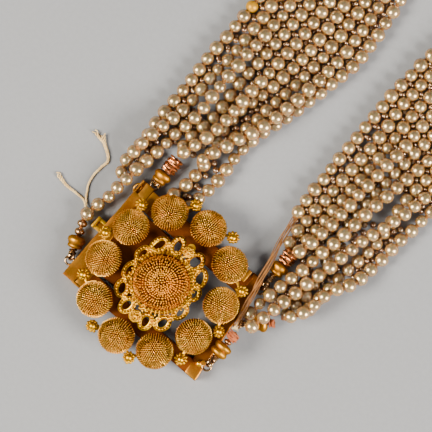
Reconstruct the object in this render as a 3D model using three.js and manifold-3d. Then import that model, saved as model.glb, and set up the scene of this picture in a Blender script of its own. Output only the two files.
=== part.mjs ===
// Multi-strand pearl choker with a gold rosette box clasp, lying closed on a flat surface.
// Millimetres, +Z up. The pieces are laid out in the clasp's own frame: its centre is under the
// middle dome, +X runs across the clasp and +Y runs from the clasp towards the neck loop. At the
// end the whole necklace is moved so that its origin is the middle of the surface that it covers.

import * as THREE from 'three';
import { mergeVertices } from 'three/addons/utils/BufferGeometryUtils.js';
import Module from 'manifold-3d';

const wasm = await Module();
wasm.setup();

// ---------------------------------------------------------------------------------------------
// Driving dimensions
// ---------------------------------------------------------------------------------------------

const GAP = 0.3; // clearance between neighbouring pieces

// Strands of small pearls.
const STRAND_RADIUS = 1.05;
const STRAND_SIDES = 8;
const STRAND_PITCH = 2.6; // between neighbours round the turn of the loop
const LOW = 1.1; // height of a strand that lies on the surface
const BAND = { start: 54, leftInner: 0.6, rightInner: 9.4, pitch: 2.7, parts: 5 }; // even side by side
const TURN = { x: 4, y: 122, innerRadius: 17 }; // half-circle at the far end of the loop
const RUN_STEP = 8; // facet lengths along the runs and round the turn
const TURN_STEP = 7;

// Clasp bars, box and arms.
const BAR_TOP = 3;
const BOX_HALF = { left: -14.9, barRight: -12.6, top: 12.05, bottom: -10.8 };
const BOX = { right: -2.6, top: 7.3, bottom: -6.4 };
const ARM = { left: -12.0, topLow: 7.6, topHigh: 11.6, bottomLow: -10.4, bottomHigh: -6.9, bendX: 10.2 };
const LEANING_BAR = {
  top: 12.5,
  bottom: -9.8,
  topLeft: 11.6,
  topRight: 13.9,
  bottomLeft: 13.9,
  bottomRight: 16.6,
};
const CATCH_STRIP = { x: 11.0, y: 11.2, width: 0.8, length: 2.0, height: 0.5 };
const SEAT_RADIUS = 2.6;

// Wire eyes on the bars, the links that pass through them and the terminals' axis height.
const EYE_RADIUS = 0.8;
const WIRE_RADIUS = 0.22;
const LINK_RADIUS = 0.75;
const LINK_OFFSET = 0.88; // from the eye's centre to the link's centre
const TERMINAL_HEIGHT = 1.75;
const EYE_POST_RADIUS = 0.45;

// Domes of the rosette.
const DOME = { radius: 3.42, rim: 0.5, height: 3.1, baseHeight: 4.5, tilt: THREE.MathUtils.degToRad(20) };
const DOME_SEGMENTS = 12;
const MIDDLE_DOME = { radius: 5.3, rim: 0.6, height: 3.2, base: 6.3 };
const MIDDLE_SEGMENTS = 18;
const STEM_RADIUS = 1.1;
const CLUSTER = { radius: 1.15, granule: 0.65, base: 4.1, shoulder: 5.1, top: 6.3 };

// Right-hand half of the ring, from the top round to the bottom: each dome, and the granule
// cluster that follows it. The left-hand half mirrors the domes in the middle rows.
const RING = [
  { domeX: 0, domeY: 13.0, clusterX: 4.5, clusterY: 14.8 },
  { domeX: 7.2, domeY: 10.5, clusterX: 12.15, clusterY: 8.4 },
  { domeX: 10.8, domeY: 3.9, clusterX: 13.9, clusterY: 0.1 },
  { domeX: 10.8, domeY: -3.6, clusterX: 11.9, clusterY: -8.4 },
  { domeX: 7.2, domeY: -10.3, clusterX: 4.5, clusterY: -14.4 },
  { domeX: 0.1, domeY: -12.7, clusterX: -4.4, clusterY: -14.4 },
];

// Pierced collar round the middle dome.
const COLLAR = {
  loopAngles: [15, 41, 68], // where the loops of one quarter stand round the oval, in degrees
  loopX: 5.7, // semi-axes of the oval that the loops' centres stand on
  loopY: 7.3,
  loopWidth: 1.65, // half sizes of one loop
  loopLength: 1.85,
  wire: 0.7,
  innerX: 3.6, // semi-axes of the round opening under the middle dome
  innerY: 4.4,
  ringX: 5.0, // semi-axes of the band that carries the loops
  ringY: 6.3,
  base: 5.2,
  thickness: 0.75,
  droop: 1.1, // fall of the loops' outer ends
};
const COLLAR_POST = { radius: 0.8, topY: 8.3, bottomY: -8.2, boxX: -5.2 };
const KNOB = { radius: 1.25, topY: 7.5, bottomY: -7.9, height: 1.5 };

// ---------------------------------------------------------------------------------------------
// Finishes
// ---------------------------------------------------------------------------------------------

const FINISH = {
  matteGold: { color: 0xc98f35, roughness: 0.42, metalness: 1 },
  brightGold: { color: 0xd9a53c, roughness: 0.28, metalness: 1 },
  copperGold: { color: 0xb9764a, roughness: 0.35, metalness: 1 },
  pearl: { color: 0xe0c8a2, roughness: 0.25, metalness: 0 },
  silk: { color: 0xa87848, roughness: 0.85, metalness: 0 },
};

const necklace = new THREE.Group();

/** Adds a named piece with its own material. */
function place(name, geometry, finish) {
  const mesh = new THREE.Mesh(geometry, new THREE.MeshStandardMaterial(FINISH[finish]));
  mesh.name = name;
  necklace.add(mesh);
  return mesh;
}

// ---------------------------------------------------------------------------------------------
// Solids
// ---------------------------------------------------------------------------------------------

/** Turns a closed geometry into a manifold solid. */
function solidOf(geometry) {
  const plain = geometry.clone();
  plain.deleteAttribute('normal');
  plain.deleteAttribute('uv');
  const merged = mergeVertices(plain, 1e-4);
  return new wasm.Manifold(
    new wasm.Mesh({
      numProp: 3,
      vertProperties: new Float32Array(merged.attributes.position.array),
      triVerts: new Uint32Array(merged.index.array),
    }),
  );
}

/** Turns a manifold solid back into a geometry. */
function geometryOf(solid) {
  const mesh = solid.getMesh();
  const geometry = new THREE.BufferGeometry();
  geometry.setAttribute('position', new THREE.BufferAttribute(new Float32Array(mesh.vertProperties), 3));
  geometry.setIndex(new THREE.BufferAttribute(new Uint32Array(mesh.triVerts), 1));
  geometry.computeVertexNormals();
  return geometry;
}

/** Solders closed geometries into one. */
function join(geometries) {
  const solids = geometries.map(solidOf);
  return geometryOf(solids.reduce((whole, next) => whole.add(next)));
}

/** A flat plate with the outline given as [x, y] corners, between two heights. */
function plate(corners, low, high, holes = []) {
  const shape = new THREE.Shape(corners.map(([x, y]) => new THREE.Vector2(x, y)));
  for (const hole of holes) {
    shape.holes.push(new THREE.Path(hole.map(([x, y]) => new THREE.Vector2(x, y))));
  }
  const geometry = new THREE.ExtrudeGeometry(shape, { depth: high - low, bevelEnabled: false });
  return geometry.translate(0, 0, low);
}

/** A rectangular block between two corners. */
function block(x0, y0, z0, x1, y1, z1) {
  const geometry = new THREE.BoxGeometry(x1 - x0, y1 - y0, z1 - z0);
  return geometry.translate((x0 + x1) / 2, (y0 + y1) / 2, (z0 + z1) / 2);
}

/** An upright post. */
function post(x, y, radius, low, high, segments = 10) {
  const geometry = new THREE.CylinderGeometry(radius, radius, high - low, segments);
  return geometry.rotateX(Math.PI / 2).translate(x, y, (low + high) / 2);
}

/** A turned form about the Z axis from [radius, height] pairs that start and end on the axis. */
function turned(profile, segments) {
  const points = profile.map(([radius, height]) => new THREE.Vector2(radius, height));
  return new THREE.LatheGeometry(points, segments).rotateX(Math.PI / 2);
}

/** A closed wire ring whose hole faces along Z. */
function wireRing(radius, wire) {
  return new THREE.TorusGeometry(radius, wire, 5, 8);
}

/** A round-sectioned tube along a curve. */
function tube(curve, radius, sides, steps) {
  const section = new THREE.Shape();
  for (let side = 0; side < sides; side += 1) {
    const angle = (side / sides) * 2 * Math.PI;
    const point = [radius * Math.cos(angle), radius * Math.sin(angle)];
    if (side === 0) {
      section.moveTo(...point);
    } else {
      section.lineTo(...point);
    }
  }
  return new THREE.ExtrudeGeometry(section, { steps, bevelEnabled: false, extrudePath: curve });
}

/** The corners of an oval, as [x, y] pairs. */
function oval(x, y, semiX, semiY, count, turn = 0) {
  return Array.from({ length: count }, (_, index) => {
    const angle = (index / count) * 2 * Math.PI;
    const alongX = semiX * Math.cos(angle);
    const alongY = semiY * Math.sin(angle);
    return [
      x + alongX * Math.cos(turn) - alongY * Math.sin(turn),
      y + alongX * Math.sin(turn) + alongY * Math.cos(turn),
    ];
  });
}

// ---------------------------------------------------------------------------------------------
// Clasp
// ---------------------------------------------------------------------------------------------

/** Where each dome and each cluster stands: the ring's right half and its mirrored left half. */
function ringPlaces() {
  const right = RING.map((row) => ({ ...row }));
  const left = RING.slice(1, -1).reverse().map((row, index) => {
    const before = RING[RING.length - 3 - index];
    return { domeX: -row.domeX, domeY: row.domeY, clusterX: -before.clusterX, clusterY: before.clusterY };
  });
  return [...right, ...left];
}

/** The wire eyes of one bar's terminals, flat against the bar or on a post where they stand above it. */
function eyes(terminals) {
  return terminals.flatMap(({ x, y, height = TERMINAL_HEIGHT }) => {
    const ring = wireRing(EYE_RADIUS, WIRE_RADIUS).translate(x, y, height);
    const knobPost = post(x - EYE_RADIUS - 0.1, y, EYE_POST_RADIUS, BAR_TOP - 0.2, height + WIRE_RADIUS, 8);
    return height > BAR_TOP ? [ring, knobPost] : [ring];
  });
}

/** Left half of the clasp: the bar, its eyes and square staple, and the box behind the rosette. */
function boxHalf(terminals) {
  const { left, barRight, top, bottom } = BOX_HALF;
  const staple = plate(
    [[left - 1.8, -0.5], [left + 0.2, -0.5], [left + 0.2, 1.5], [left - 1.8, 1.5]],
    1.3,
    2.2,
    [[[left - 1.3, 0], [left - 0.4, 0], [left - 0.4, 1], [left - 1.3, 1]]],
  );
  return join([
    block(left, bottom, 0, barRight, top, BAR_TOP),
    block(barRight - 0.2, BOX.bottom, 0, BOX.right, BOX.top, BAR_TOP),
    staple,
    ...eyes(terminals),
  ]);
}

/** Right half of the clasp: the leaning bar, its two arms and the seats of the domes that they carry. */
function tongueHalf(places, terminals) {
  const bar = LEANING_BAR;
  const corners = [
    [bar.topLeft, bar.top], [bar.bottomLeft, bar.bottom],
    [bar.bottomRight, bar.bottom], [bar.topRight, bar.top],
  ];
  const bottomArm = [
    [ARM.left, ARM.bottomLow], [ARM.bendX, ARM.bottomLow], [ARM.bendX + 0.6, bar.bottom],
    [bar.bottomLeft + 0.4, bar.bottom], [bar.bottomLeft + 0.4, ARM.bottomHigh], [ARM.left, ARM.bottomHigh],
  ];
  const seats = places.filter(({ domeX, domeY }) => domeX > BOX.right || domeY > BOX.top || domeY < BOX.bottom);
  const strip = CATCH_STRIP;
  return join([
    plate(corners, 0, BAR_TOP),
    block(ARM.left, ARM.topLow, 0, bar.topLeft + 0.6, ARM.topHigh, BAR_TOP),
    plate(bottomArm, 0, BAR_TOP),
    block(
      strip.x - strip.width / 2, strip.y - strip.length / 2, BAR_TOP - 0.2,
      strip.x + strip.width / 2, strip.y + strip.length / 2, BAR_TOP + strip.height,
    ),
    ...seats.map(({ domeX, domeY }) => post(domeX, domeY, SEAT_RADIUS, 0, BAR_TOP, 8)),
    ...eyes(terminals),
  ]);
}

/** Profile of a pin-covered dome: a flat base, a short rim and a round top. */
function domeProfile({ radius, rim, height }, rings) {
  const profile = [[0, 0], [radius, 0], [radius, rim]];
  for (let ring = 1; ring < rings; ring += 1) {
    const angle = (ring / rings) * (Math.PI / 2);
    profile.push([radius * Math.cos(angle), rim + (height - rim) * Math.sin(angle)]);
  }
  profile.push([0, height]);
  return profile;
}

/** One outer dome leaning outwards on its stem, with the granule cluster soldered to its side. */
function outerDome({ domeX, domeY, clusterX, clusterY }) {
  const outward = new THREE.Vector3(domeX, domeY, 0).normalize();
  const leanAxis = new THREE.Vector3(0, 0, 1).cross(outward);
  const dome = turned(domeProfile(DOME, 3), DOME_SEGMENTS)
    .applyQuaternion(new THREE.Quaternion().setFromAxisAngle(leanAxis, DOME.tilt))
    .translate(domeX, domeY, DOME.baseHeight);
  const stem = post(domeX, domeY, STEM_RADIUS, BAR_TOP + GAP, DOME.baseHeight + DOME.rim, 6);
  const { radius, granule, base, shoulder, top } = CLUSTER;
  const cluster = turned(
    [
      [0, base], [radius, base + 0.3], [radius, shoulder - 0.3],
      [granule, shoulder], [granule, top - 0.4], [0, top],
    ],
    6,
  ).translate(clusterX, clusterY, 0);
  const bridge = tube(
    new THREE.LineCurve3(
      new THREE.Vector3(clusterX, clusterY, base + 0.6),
      new THREE.Vector3(domeX, domeY, DOME.baseHeight + DOME.rim),
    ),
    0.35,
    6,
    1,
  );
  return join([dome, stem, bridge, cluster]);
}

/** The pierced collar: an oval band pushed out into one loop for each lobe, with its knobs and posts. */
function collarPiece() {
  const c = COLLAR;
  const solids = [plate(oval(0, 0, c.ringX, c.ringY, 16), 0, c.thickness)];
  const holes = [plate(oval(0, 0, c.innerX, c.innerY, 12), -1, c.thickness + 1)];
  const quarters = c.loopAngles.flatMap((angle) => [angle, 180 - angle, 180 + angle, 360 - angle]);
  for (const degrees of quarters) {
    const angle = THREE.MathUtils.degToRad(degrees);
    const x = c.loopX * Math.cos(angle);
    const y = c.loopY * Math.sin(angle);
    const turn = Math.atan2(y, x);
    solids.push(plate(oval(x, y, c.loopLength, c.loopWidth, 8, turn), 0, c.thickness));
    holes.push(plate(oval(x, y, c.loopLength - c.wire, c.loopWidth - c.wire, 6, turn), -1, c.thickness + 1));
  }
  const rim = solids.map(solidOf).reduce((whole, next) => whole.add(next));
  const pierced = holes.map(solidOf).reduce((whole, hole) => whole.subtract(hole), rim);
  const flat = geometryOf(pierced);
  droopEdge(flat);
  return join([
    flat,
    ...[KNOB.topY, KNOB.bottomY].map((y) => knob(y)),
    post(0, COLLAR_POST.topY, COLLAR_POST.radius, BAR_TOP + GAP, c.base + 0.2, 8),
    post(0, COLLAR_POST.bottomY, COLLAR_POST.radius, BAR_TOP + GAP, c.base + 0.2, 8),
    post(COLLAR_POST.boxX, 0, COLLAR_POST.radius, BAR_TOP + GAP, c.base + 0.2, 8),
  ]);
}

/** Lets the loops' outer ends fall away from the middle dome. */
function droopEdge(geometry) {
  const position = geometry.attributes.position;
  for (let index = 0; index < position.count; index += 1) {
    const x = position.getX(index);
    const y = position.getY(index);
    const reach = Math.hypot(x / (COLLAR.loopX + COLLAR.loopLength), y / (COLLAR.loopY + COLLAR.loopLength));
    const fall = COLLAR.droop * Math.max(0, reach - 0.6) / 0.4;
    position.setZ(index, position.getZ(index) + COLLAR.base - fall);
  }
}

/** A granulated knob on the collar. */
function knob(y) {
  const { radius, height } = KNOB;
  const low = COLLAR.base - 0.3;
  return turned(
    [
      [0, low], [radius, low + 0.2], [radius, low + height * 0.5],
      [radius * 0.6, low + height], [0, low + height + 0.4],
    ],
    8,
  ).translate(0, y, 0);
}

/** The large dome in the middle, on a round stem that sits in the collar. */
function middleDome() {
  const dome = turned(domeProfile(MIDDLE_DOME, 5), MIDDLE_SEGMENTS).translate(0, 0, MIDDLE_DOME.base);
  const stem = post(0, 0, COLLAR.innerX - 2 * GAP, COLLAR.base + 0.1, MIDDLE_DOME.base + MIDDLE_DOME.rim, 16);
  return join([dome, stem]);
}

// ---------------------------------------------------------------------------------------------
// Terminals
// ---------------------------------------------------------------------------------------------

// One row for each terminal: its eye on the bar, the direction that its threads leave in, the
// length of the bound neck past the link, and the beads strung on it, each with its half width
// at both ends and its middle.
const RONDELLE = { length: 2.1, end: 0.9, middle: 1.65 };
const DOUBLE_RONDELLE = { length: 2.8, end: 1.0, middle: 1.8, waist: 1.35 };
const BULLION = { length: 3.2, end: 1.35, middle: 1.5 };
const SHORT_BULLION = { length: 1.7, end: 1.05, middle: 1.15 };
const SMALL_BEAD = { length: 1.6, end: 0.7, middle: 1.0 };
const THREAD_RADIUS = 0.4;
const BEAD_GAP = 0.15;

const TERMINALS = {
  terminal_left_top: { side: 'box', x: -12.75, y: 12.5, angle: 90, neck: 0.1, beads: [RONDELLE, BULLION] },
  terminal_left_bottom: {
    side: 'box', x: -15.5, y: -8.1, angle: 112, neck: 1.1, beads: [RONDELLE, SMALL_BEAD, SMALL_BEAD],
  },
  terminal_right_top: { side: 'tongue', x: 14.7, y: 10.9, angle: 90, neck: 2.4, beads: [RONDELLE, BULLION] },
  terminal_right_middle: {
    side: 'tongue', x: 15.6, y: 3.4, angle: 42, neck: 1.6, beads: [RONDELLE, SHORT_BULLION],
  },
  terminal_right_bottom: {
    side: 'tongue', x: 16.4, y: -6.2, height: 5.1, angle: 90, neck: 0.4,
    beads: [DOUBLE_RONDELLE, SMALL_BEAD, SHORT_BULLION],
  },
};

/** Profile of a bead row about its thread, as [radius, distance] pairs from the link outwards. */
function beadRowProfile(neck, beads) {
  const profile = [[0, 0], [THREAD_RADIUS, 0], [THREAD_RADIUS, neck]];
  let start = neck;
  for (const bead of beads) {
    const middles = bead.waist
      ? [[bead.middle, 0.25], [bead.waist, 0.5], [bead.middle, 0.75]]
      : [[bead.middle, 0.3], [bead.middle, 0.7]];
    const rows = [[bead.end, 0], ...middles, [bead.end, 1]];
    profile.push(...rows.map(([radius, share]) => [radius, start + share * bead.length]));
    start += bead.length + BEAD_GAP;
  }
  profile.push([0, start - BEAD_GAP]);
  return profile;
}

/** A terminal: the link through its eye and the rondelle and beads on the gathered threads. */
function terminal({ x, y, height = TERMINAL_HEIGHT, angle, neck, beads }) {
  const link = wireRing(LINK_RADIUS, WIRE_RADIUS).rotateX(Math.PI / 2).translate(LINK_OFFSET, 0, 0);
  const row = turned(beadRowProfile(neck, beads), 8)
    .rotateY(Math.PI / 2)
    .translate(LINK_OFFSET + LINK_RADIUS - 0.1, 0, 0);
  return join([link, row])
    .rotateZ(THREE.MathUtils.degToRad(angle))
    .translate(x, y, height);
}

/** The hidden middle terminal of the left side, as one plain gathered knot under the dome beside it. */
function gatheredKnot() {
  const { domeX, domeY } = RING[1];
  return turned([[0, 0], [0.4, 0], [0.45, 0.4], [0.3, 0.8], [0, 0.8]], 8)
    .rotateX(-Math.PI / 2)
    .translate(-domeX, domeY + SEAT_RADIUS + GAP, BAR_TOP - 0.6);
}

// ---------------------------------------------------------------------------------------------
// Strands
// ---------------------------------------------------------------------------------------------

// Each strand's two runs between the clasp and the start of the even band, from the outermost
// strand to the innermost: [x, y, height] points listed from the clasp end outwards.
const STRANDS = [
  {
    left: [
      [-19.7, 16.4, LOW], [-20.0, 20.5, LOW], [-20.2, 25.5, LOW], [-20.3, 31, LOW],
      [-20.7, 38, LOW], [-20.8, 46, LOW],
    ],
    right: [
      [22.1, 10.7, 3.4], [23.6, 13.3, 3.6], [24.1, 16, 3.6], [24.6, 18.7, 3.5], [25.7, 21, 3.5],
      [27.1, 23.4, 2.7], [27.6, 26.5, 1.3], [28.0, 30.4, LOW], [28.4, 35.4, LOW], [28.9, 40.5, LOW],
      [29.4, 46, LOW],
    ],
  },
  {
    left: [
      [-19.0, 10.4, 1.2], [-19.8, 13.1, 1.7], [-19.6, 15.8, 3.7], [-19.5, 18.2, 3.7], [-19.0, 21, 3.5],
      [-18.5, 23.4, 3.1], [-17.9, 26.6, 1.8], [-17.8, 30, LOW], [-17.9, 35, LOW], [-17.6, 41, LOW],
      [-17.8, 47, LOW],
    ],
    right: [
      [17.8, 4.7, 4.7], [18.4, 7.4, 4.8], [19.0, 10.2, 4.3], [19.6, 13, 3.7], [20.1, 16.1, 3.6],
      [20.7, 18.7, 3.6], [21.4, 21.2, 3.6], [21.8, 23.8, 3.5], [22.2, 26.3, 3.5], [22.7, 29, 3.6],
      [23.5, 31.6, 3.6], [24.2, 34, 3.7], [25.1, 36.8, 3.6], [25.9, 40, 3.1], [26.5, 43.5, 2.4],
      [26.9, 47, 1.7],
    ],
  },
  {
    left: [
      [-18.7, 0.4, 2.2], [-18.4, 2.9, 2.4], [-17.75, 5.5, 2.8], [-17.65, 8.1, 3.2], [-17.3, 10.6, 3.4],
      [-17.1, 13.2, 2.8], [-16.7, 15.8, 1.4], [-16.4, 18.4, LOW], [-16.1, 22, 1.3], [-15.6, 24.5, 2.2],
      [-15.3, 28, 2.9], [-15.5, 33, 2.9], [-15.7, 38, 2.9], [-15.6, 43, 2.8], [-15.5, 48, 1.9],
    ],
    right: [
      [23.8, 13.8, LOW], [24.1, 17.5, LOW], [24.3, 21.8, LOW], [24.7, 26.7, LOW], [25.2, 31, LOW],
      [25.1, 34, LOW], [24.6, 37, LOW], [24.2, 40.5, LOW], [24.3, 44, LOW], [24.8, 48, LOW],
    ],
  },
  {
    left: [
      [-13.6, 21.6, LOW], [-13.3, 25, LOW], [-12.8, 29, LOW], [-13.0, 33, LOW], [-13.3, 38, LOW],
      [-13.2, 43, LOW], [-13.0, 48, LOW],
    ],
    right: [
      [16.15, 6.2, 2.3], [16.3, 8.6, 2.4], [16.7, 11.3, 2.7], [17.2, 13.8, 3.0], [17.6, 16.4, 3.3],
      [18.1, 19, 3.4], [18.5, 21.8, 3.4], [18.9, 24.5, 3.4], [19.5, 27.5, 3.5], [19.8, 30.4, 3.6],
      [20.1, 33.5, 3.5], [20.6, 36.8, 3.4], [21.2, 40.2, 3.0], [21.7, 43.5, 2.2], [22.2, 47, 1.4],
    ],
  },
  {
    left: [
      [-12.7, 20.6, 3.0], [-12.0, 22.8, 3.6], [-11.3, 25.2, 3.5], [-10.7, 28.4, 3.5], [-10.6, 32, 3.5],
      [-10.6, 36, 3.3], [-10.5, 40, 2.2], [-10.3, 44, LOW], [-10.2, 48, LOW],
    ],
    right: [
      [21.3, 10.5, LOW], [21.5, 13.5, LOW], [21.6, 17.5, LOW], [20.7, 22, LOW], [19.8, 26, LOW],
      [19.2, 30, LOW], [19.0, 35, LOW], [19.1, 41, LOW], [19.4, 47, LOW],
    ],
  },
  {
    left: [
      [-8.9, 13.5, LOW], [-8.5, 16.4, LOW], [-8.3, 20.5, LOW], [-8.9, 24, LOW], [-9.8, 27.5, LOW],
      [-9.9, 31, LOW], [-9.6, 34.5, LOW], [-8.8, 38, LOW], [-8.0, 42, LOW], [-7.4, 48, LOW],
    ],
    right: [
      [15.5, 20.8, 3.0], [16.1, 23.6, 3.6], [16.5, 26.4, 3.5], [16.8, 30, 3.3], [16.9, 36, 3.2],
      [17.1, 41, 3.1], [17.4, 46, 2.7], [17.5, 50, 1.7],
    ],
  },
  {
    left: [
      [-7.2, 28.7, LOW], [-6.9, 31, LOW], [-6.5, 33.5, LOW], [-6.2, 36, LOW], [-5.9, 39, LOW],
      [-5.2, 43, LOW], [-4.8, 48, LOW],
    ],
    right: [
      [15.3, 23.2, LOW], [15.3, 30, LOW], [15.35, 36, LOW], [15.4, 40, LOW], [15.4, 44, LOW],
      [15.1, 49, LOW],
    ],
  },
  {
    left: [
      [-9.1, 22, 3.5], [-8.3, 24.7, 3.6], [-7.3, 27.3, 3.6], [-6.4, 29.6, 3.6], [-5.3, 32.1, 3.6],
      [-4.4, 34.9, 3.6], [-3.8, 37.7, 3.4], [-3.2, 41.5, 3.1], [-2.7, 45, 2.8], [-2.3, 49, 2.0],
    ],
    right: [
      [13.1, 20.9, LOW], [12.8, 24, LOW], [12.8, 30, LOW], [12.85, 36, LOW], [12.9, 42, LOW],
      [12.7, 48, LOW],
    ],
  },
  {
    left: [
      [-5.5, 13.6, LOW], [-5.0, 16.4, LOW], [-4.5, 19.5, LOW], [-4.6, 23, LOW], [-4.8, 27, LOW],
      [-4.5, 31, LOW], [-3.5, 35, LOW], [-2.3, 39, LOW], [-1.3, 43.5, LOW], [-0.2, 49, LOW],
    ],
    right: [
      [10.5, 26.1, LOW], [10.1, 31, LOW], [9.9, 37, LOW], [9.7, 42, LOW], [9.6, 48, LOW],
    ],
  },
];

/** A stretch of a route between two shares of its length, nowhere lower than a strand can lie. */
class Stretch extends THREE.Curve {
  constructor(route, from, to) {
    super();
    this.route = route;
    this.from = from;
    this.to = to;
  }

  getPoint(share, target = new THREE.Vector3()) {
    const point = this.route.getPointAt(this.from + (this.to - this.from) * share, target);
    return point.setZ(Math.max(point.z, LOW));
  }
}

/** One run from the clasp to the turn: through its own points, then in the even, widening band. */
function runRoute(points, bandX, turnX) {
  const route = points.map((point) => new THREE.Vector3(...point));
  for (let part = 0; part <= BAND.parts; part += 1) {
    const along = part / BAND.parts;
    const eased = along * along * (3 - 2 * along);
    const y = BAND.start + (TURN.y - BAND.start) * along;
    route.push(new THREE.Vector3(bandX + (turnX - bandX) * eased, y, LOW));
  }
  return new THREE.CatmullRomCurve3(route);
}

/** A quarter of the turn, from one side to its far end. */
class QuarterTurn extends THREE.Curve {
  constructor(radius, side) {
    super();
    this.radius = radius;
    this.side = side;
  }

  getPoint(share, target = new THREE.Vector3()) {
    const angle = (share * Math.PI) / 2;
    return target.set(
      TURN.x + this.side * this.radius * Math.cos(angle),
      TURN.y + this.radius * Math.sin(angle),
      LOW,
    );
  }
}

/** Adds one stretch of a strand, drawn back from its neighbour by half the gap at each end. */
function placeStretch(name, curve, step) {
  const length = curve.getLength();
  const trim = GAP / 2 / length;
  const steps = Math.round(length / step);
  place(name, tube(new Stretch(curve, trim, 1 - trim), STRAND_RADIUS, STRAND_SIDES, steps), 'pearl');
}

/** Adds a whole strand in four stretches. */
function placeStrand({ left, right }, index) {
  const name = `strand_${index + 1}`;
  const outwards = STRANDS.length - 1 - index;
  const radius = TURN.innerRadius + outwards * STRAND_PITCH;
  const leftX = BAND.leftInner - outwards * BAND.pitch;
  const rightX = BAND.rightInner + outwards * BAND.pitch;
  placeStretch(`${name}_left_run`, runRoute(left, leftX, TURN.x - radius), RUN_STEP);
  placeStretch(`${name}_left_turn`, new QuarterTurn(radius, -1), TURN_STEP);
  placeStretch(`${name}_right_turn`, new QuarterTurn(radius, 1), TURN_STEP);
  placeStretch(`${name}_right_run`, runRoute(right, rightX, TURN.x + radius), RUN_STEP);
}

// Bare threads of the innermost strand, from its last pearl over the leaning bar.
const THREAD_BUNDLE = {
  radius: 0.42,
  points: [
    [10.75, 25.5, 1.2], [11.3, 21.5, 1.6], [12.1, 17.9, 2.7], [12.75, 15.4, 3.4], [13.4, 12.4, 3.85],
    [14.1, 9.2, 3.85], [14.8, 6.2, 3.85], [15.5, 3.6, 3.85], [15.75, 2.75, 3.85],
  ],
};

/** The bundle of bare threads. */
function threadBundle() {
  const route = new THREE.CatmullRomCurve3(THREAD_BUNDLE.points.map((point) => new THREE.Vector3(...point)));
  return tube(route, THREAD_BUNDLE.radius, 6, 12);
}

// ---------------------------------------------------------------------------------------------
// Assembly
// ---------------------------------------------------------------------------------------------

const places = ringPlaces();
const eyesOf = (side) => Object.values(TERMINALS).filter((terminalRow) => terminalRow.side === side);

place('clasp_box_half', boxHalf(eyesOf('box')), 'matteGold');
place('clasp_tongue_half', tongueHalf(places, eyesOf('tongue')), 'matteGold');
places.forEach((row, index) => place(`dome_${index + 1}`, outerDome(row), 'matteGold'));
place('collar', collarPiece(), 'brightGold');
place('dome_middle', middleDome(), 'matteGold');
for (const [name, row] of Object.entries(TERMINALS)) {
  place(name, terminal(row), 'copperGold');
}
place('terminal_left_middle', gatheredKnot(), 'copperGold');
place('thread_bundle', threadBundle(), 'silk');
STRANDS.forEach(placeStrand);

// The origin is the middle of the laid-out necklace, on the surface that it lies on.
const reach = new THREE.Box3().setFromObject(necklace);
necklace.position.set(-(reach.min.x + reach.max.x) / 2, -(reach.min.y + reach.max.y) / 2, -reach.min.z);

export default necklace;
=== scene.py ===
"""Multi-strand choker of small pearls with a gold rosette box clasp, laid closed on a pale table.

Every form is made in millimetres in the clasp's own frame, with its origin under the middle dome,
+X across the clasp and +Y towards the neck loop. bench() then brings it to metres in the part's frame.
"""

import logging
import math
from dataclasses import dataclass, replace
from enum import Enum
from typing import Iterable, Sequence

import bpy
import numpy as np
from mathutils import Matrix, Vector
from mathutils.kdtree import KDTree


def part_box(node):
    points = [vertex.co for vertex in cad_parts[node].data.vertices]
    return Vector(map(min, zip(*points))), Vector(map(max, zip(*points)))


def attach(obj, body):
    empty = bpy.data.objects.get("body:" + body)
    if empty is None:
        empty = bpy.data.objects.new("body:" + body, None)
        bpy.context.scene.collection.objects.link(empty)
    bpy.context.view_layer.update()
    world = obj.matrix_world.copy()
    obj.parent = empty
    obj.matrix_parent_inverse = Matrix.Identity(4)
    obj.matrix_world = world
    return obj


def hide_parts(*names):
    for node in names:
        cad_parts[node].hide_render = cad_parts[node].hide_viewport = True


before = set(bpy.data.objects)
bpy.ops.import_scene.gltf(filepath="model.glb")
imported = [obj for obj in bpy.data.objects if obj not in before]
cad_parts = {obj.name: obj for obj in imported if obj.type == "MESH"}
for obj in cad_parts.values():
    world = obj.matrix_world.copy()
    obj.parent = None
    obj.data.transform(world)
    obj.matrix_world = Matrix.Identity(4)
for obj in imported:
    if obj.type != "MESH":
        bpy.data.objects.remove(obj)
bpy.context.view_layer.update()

Pair = tuple[float, float]
Triple = tuple[float, float, float]
Random = np.random.Generator
Socket = bpy.types.NodeSocket
Pieces = list[bpy.types.Object]

LOG = logging.getLogger("choker")
MM = 0.001
TAU = 2 * math.pi
ANY_SPIN = 6.28  # how far, in radians, a pearl may be spun at random
BODY = "root"

CLASP_LOW, CLASP_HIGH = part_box("dome_middle")
CLASP_CENTRE = np.array([(CLASP_LOW.x + CLASP_HIGH.x) / 2, (CLASP_LOW.y + CLASP_HIGH.y) / 2, 0.0])


# Forms: closed surfaces while they are being made


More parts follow.
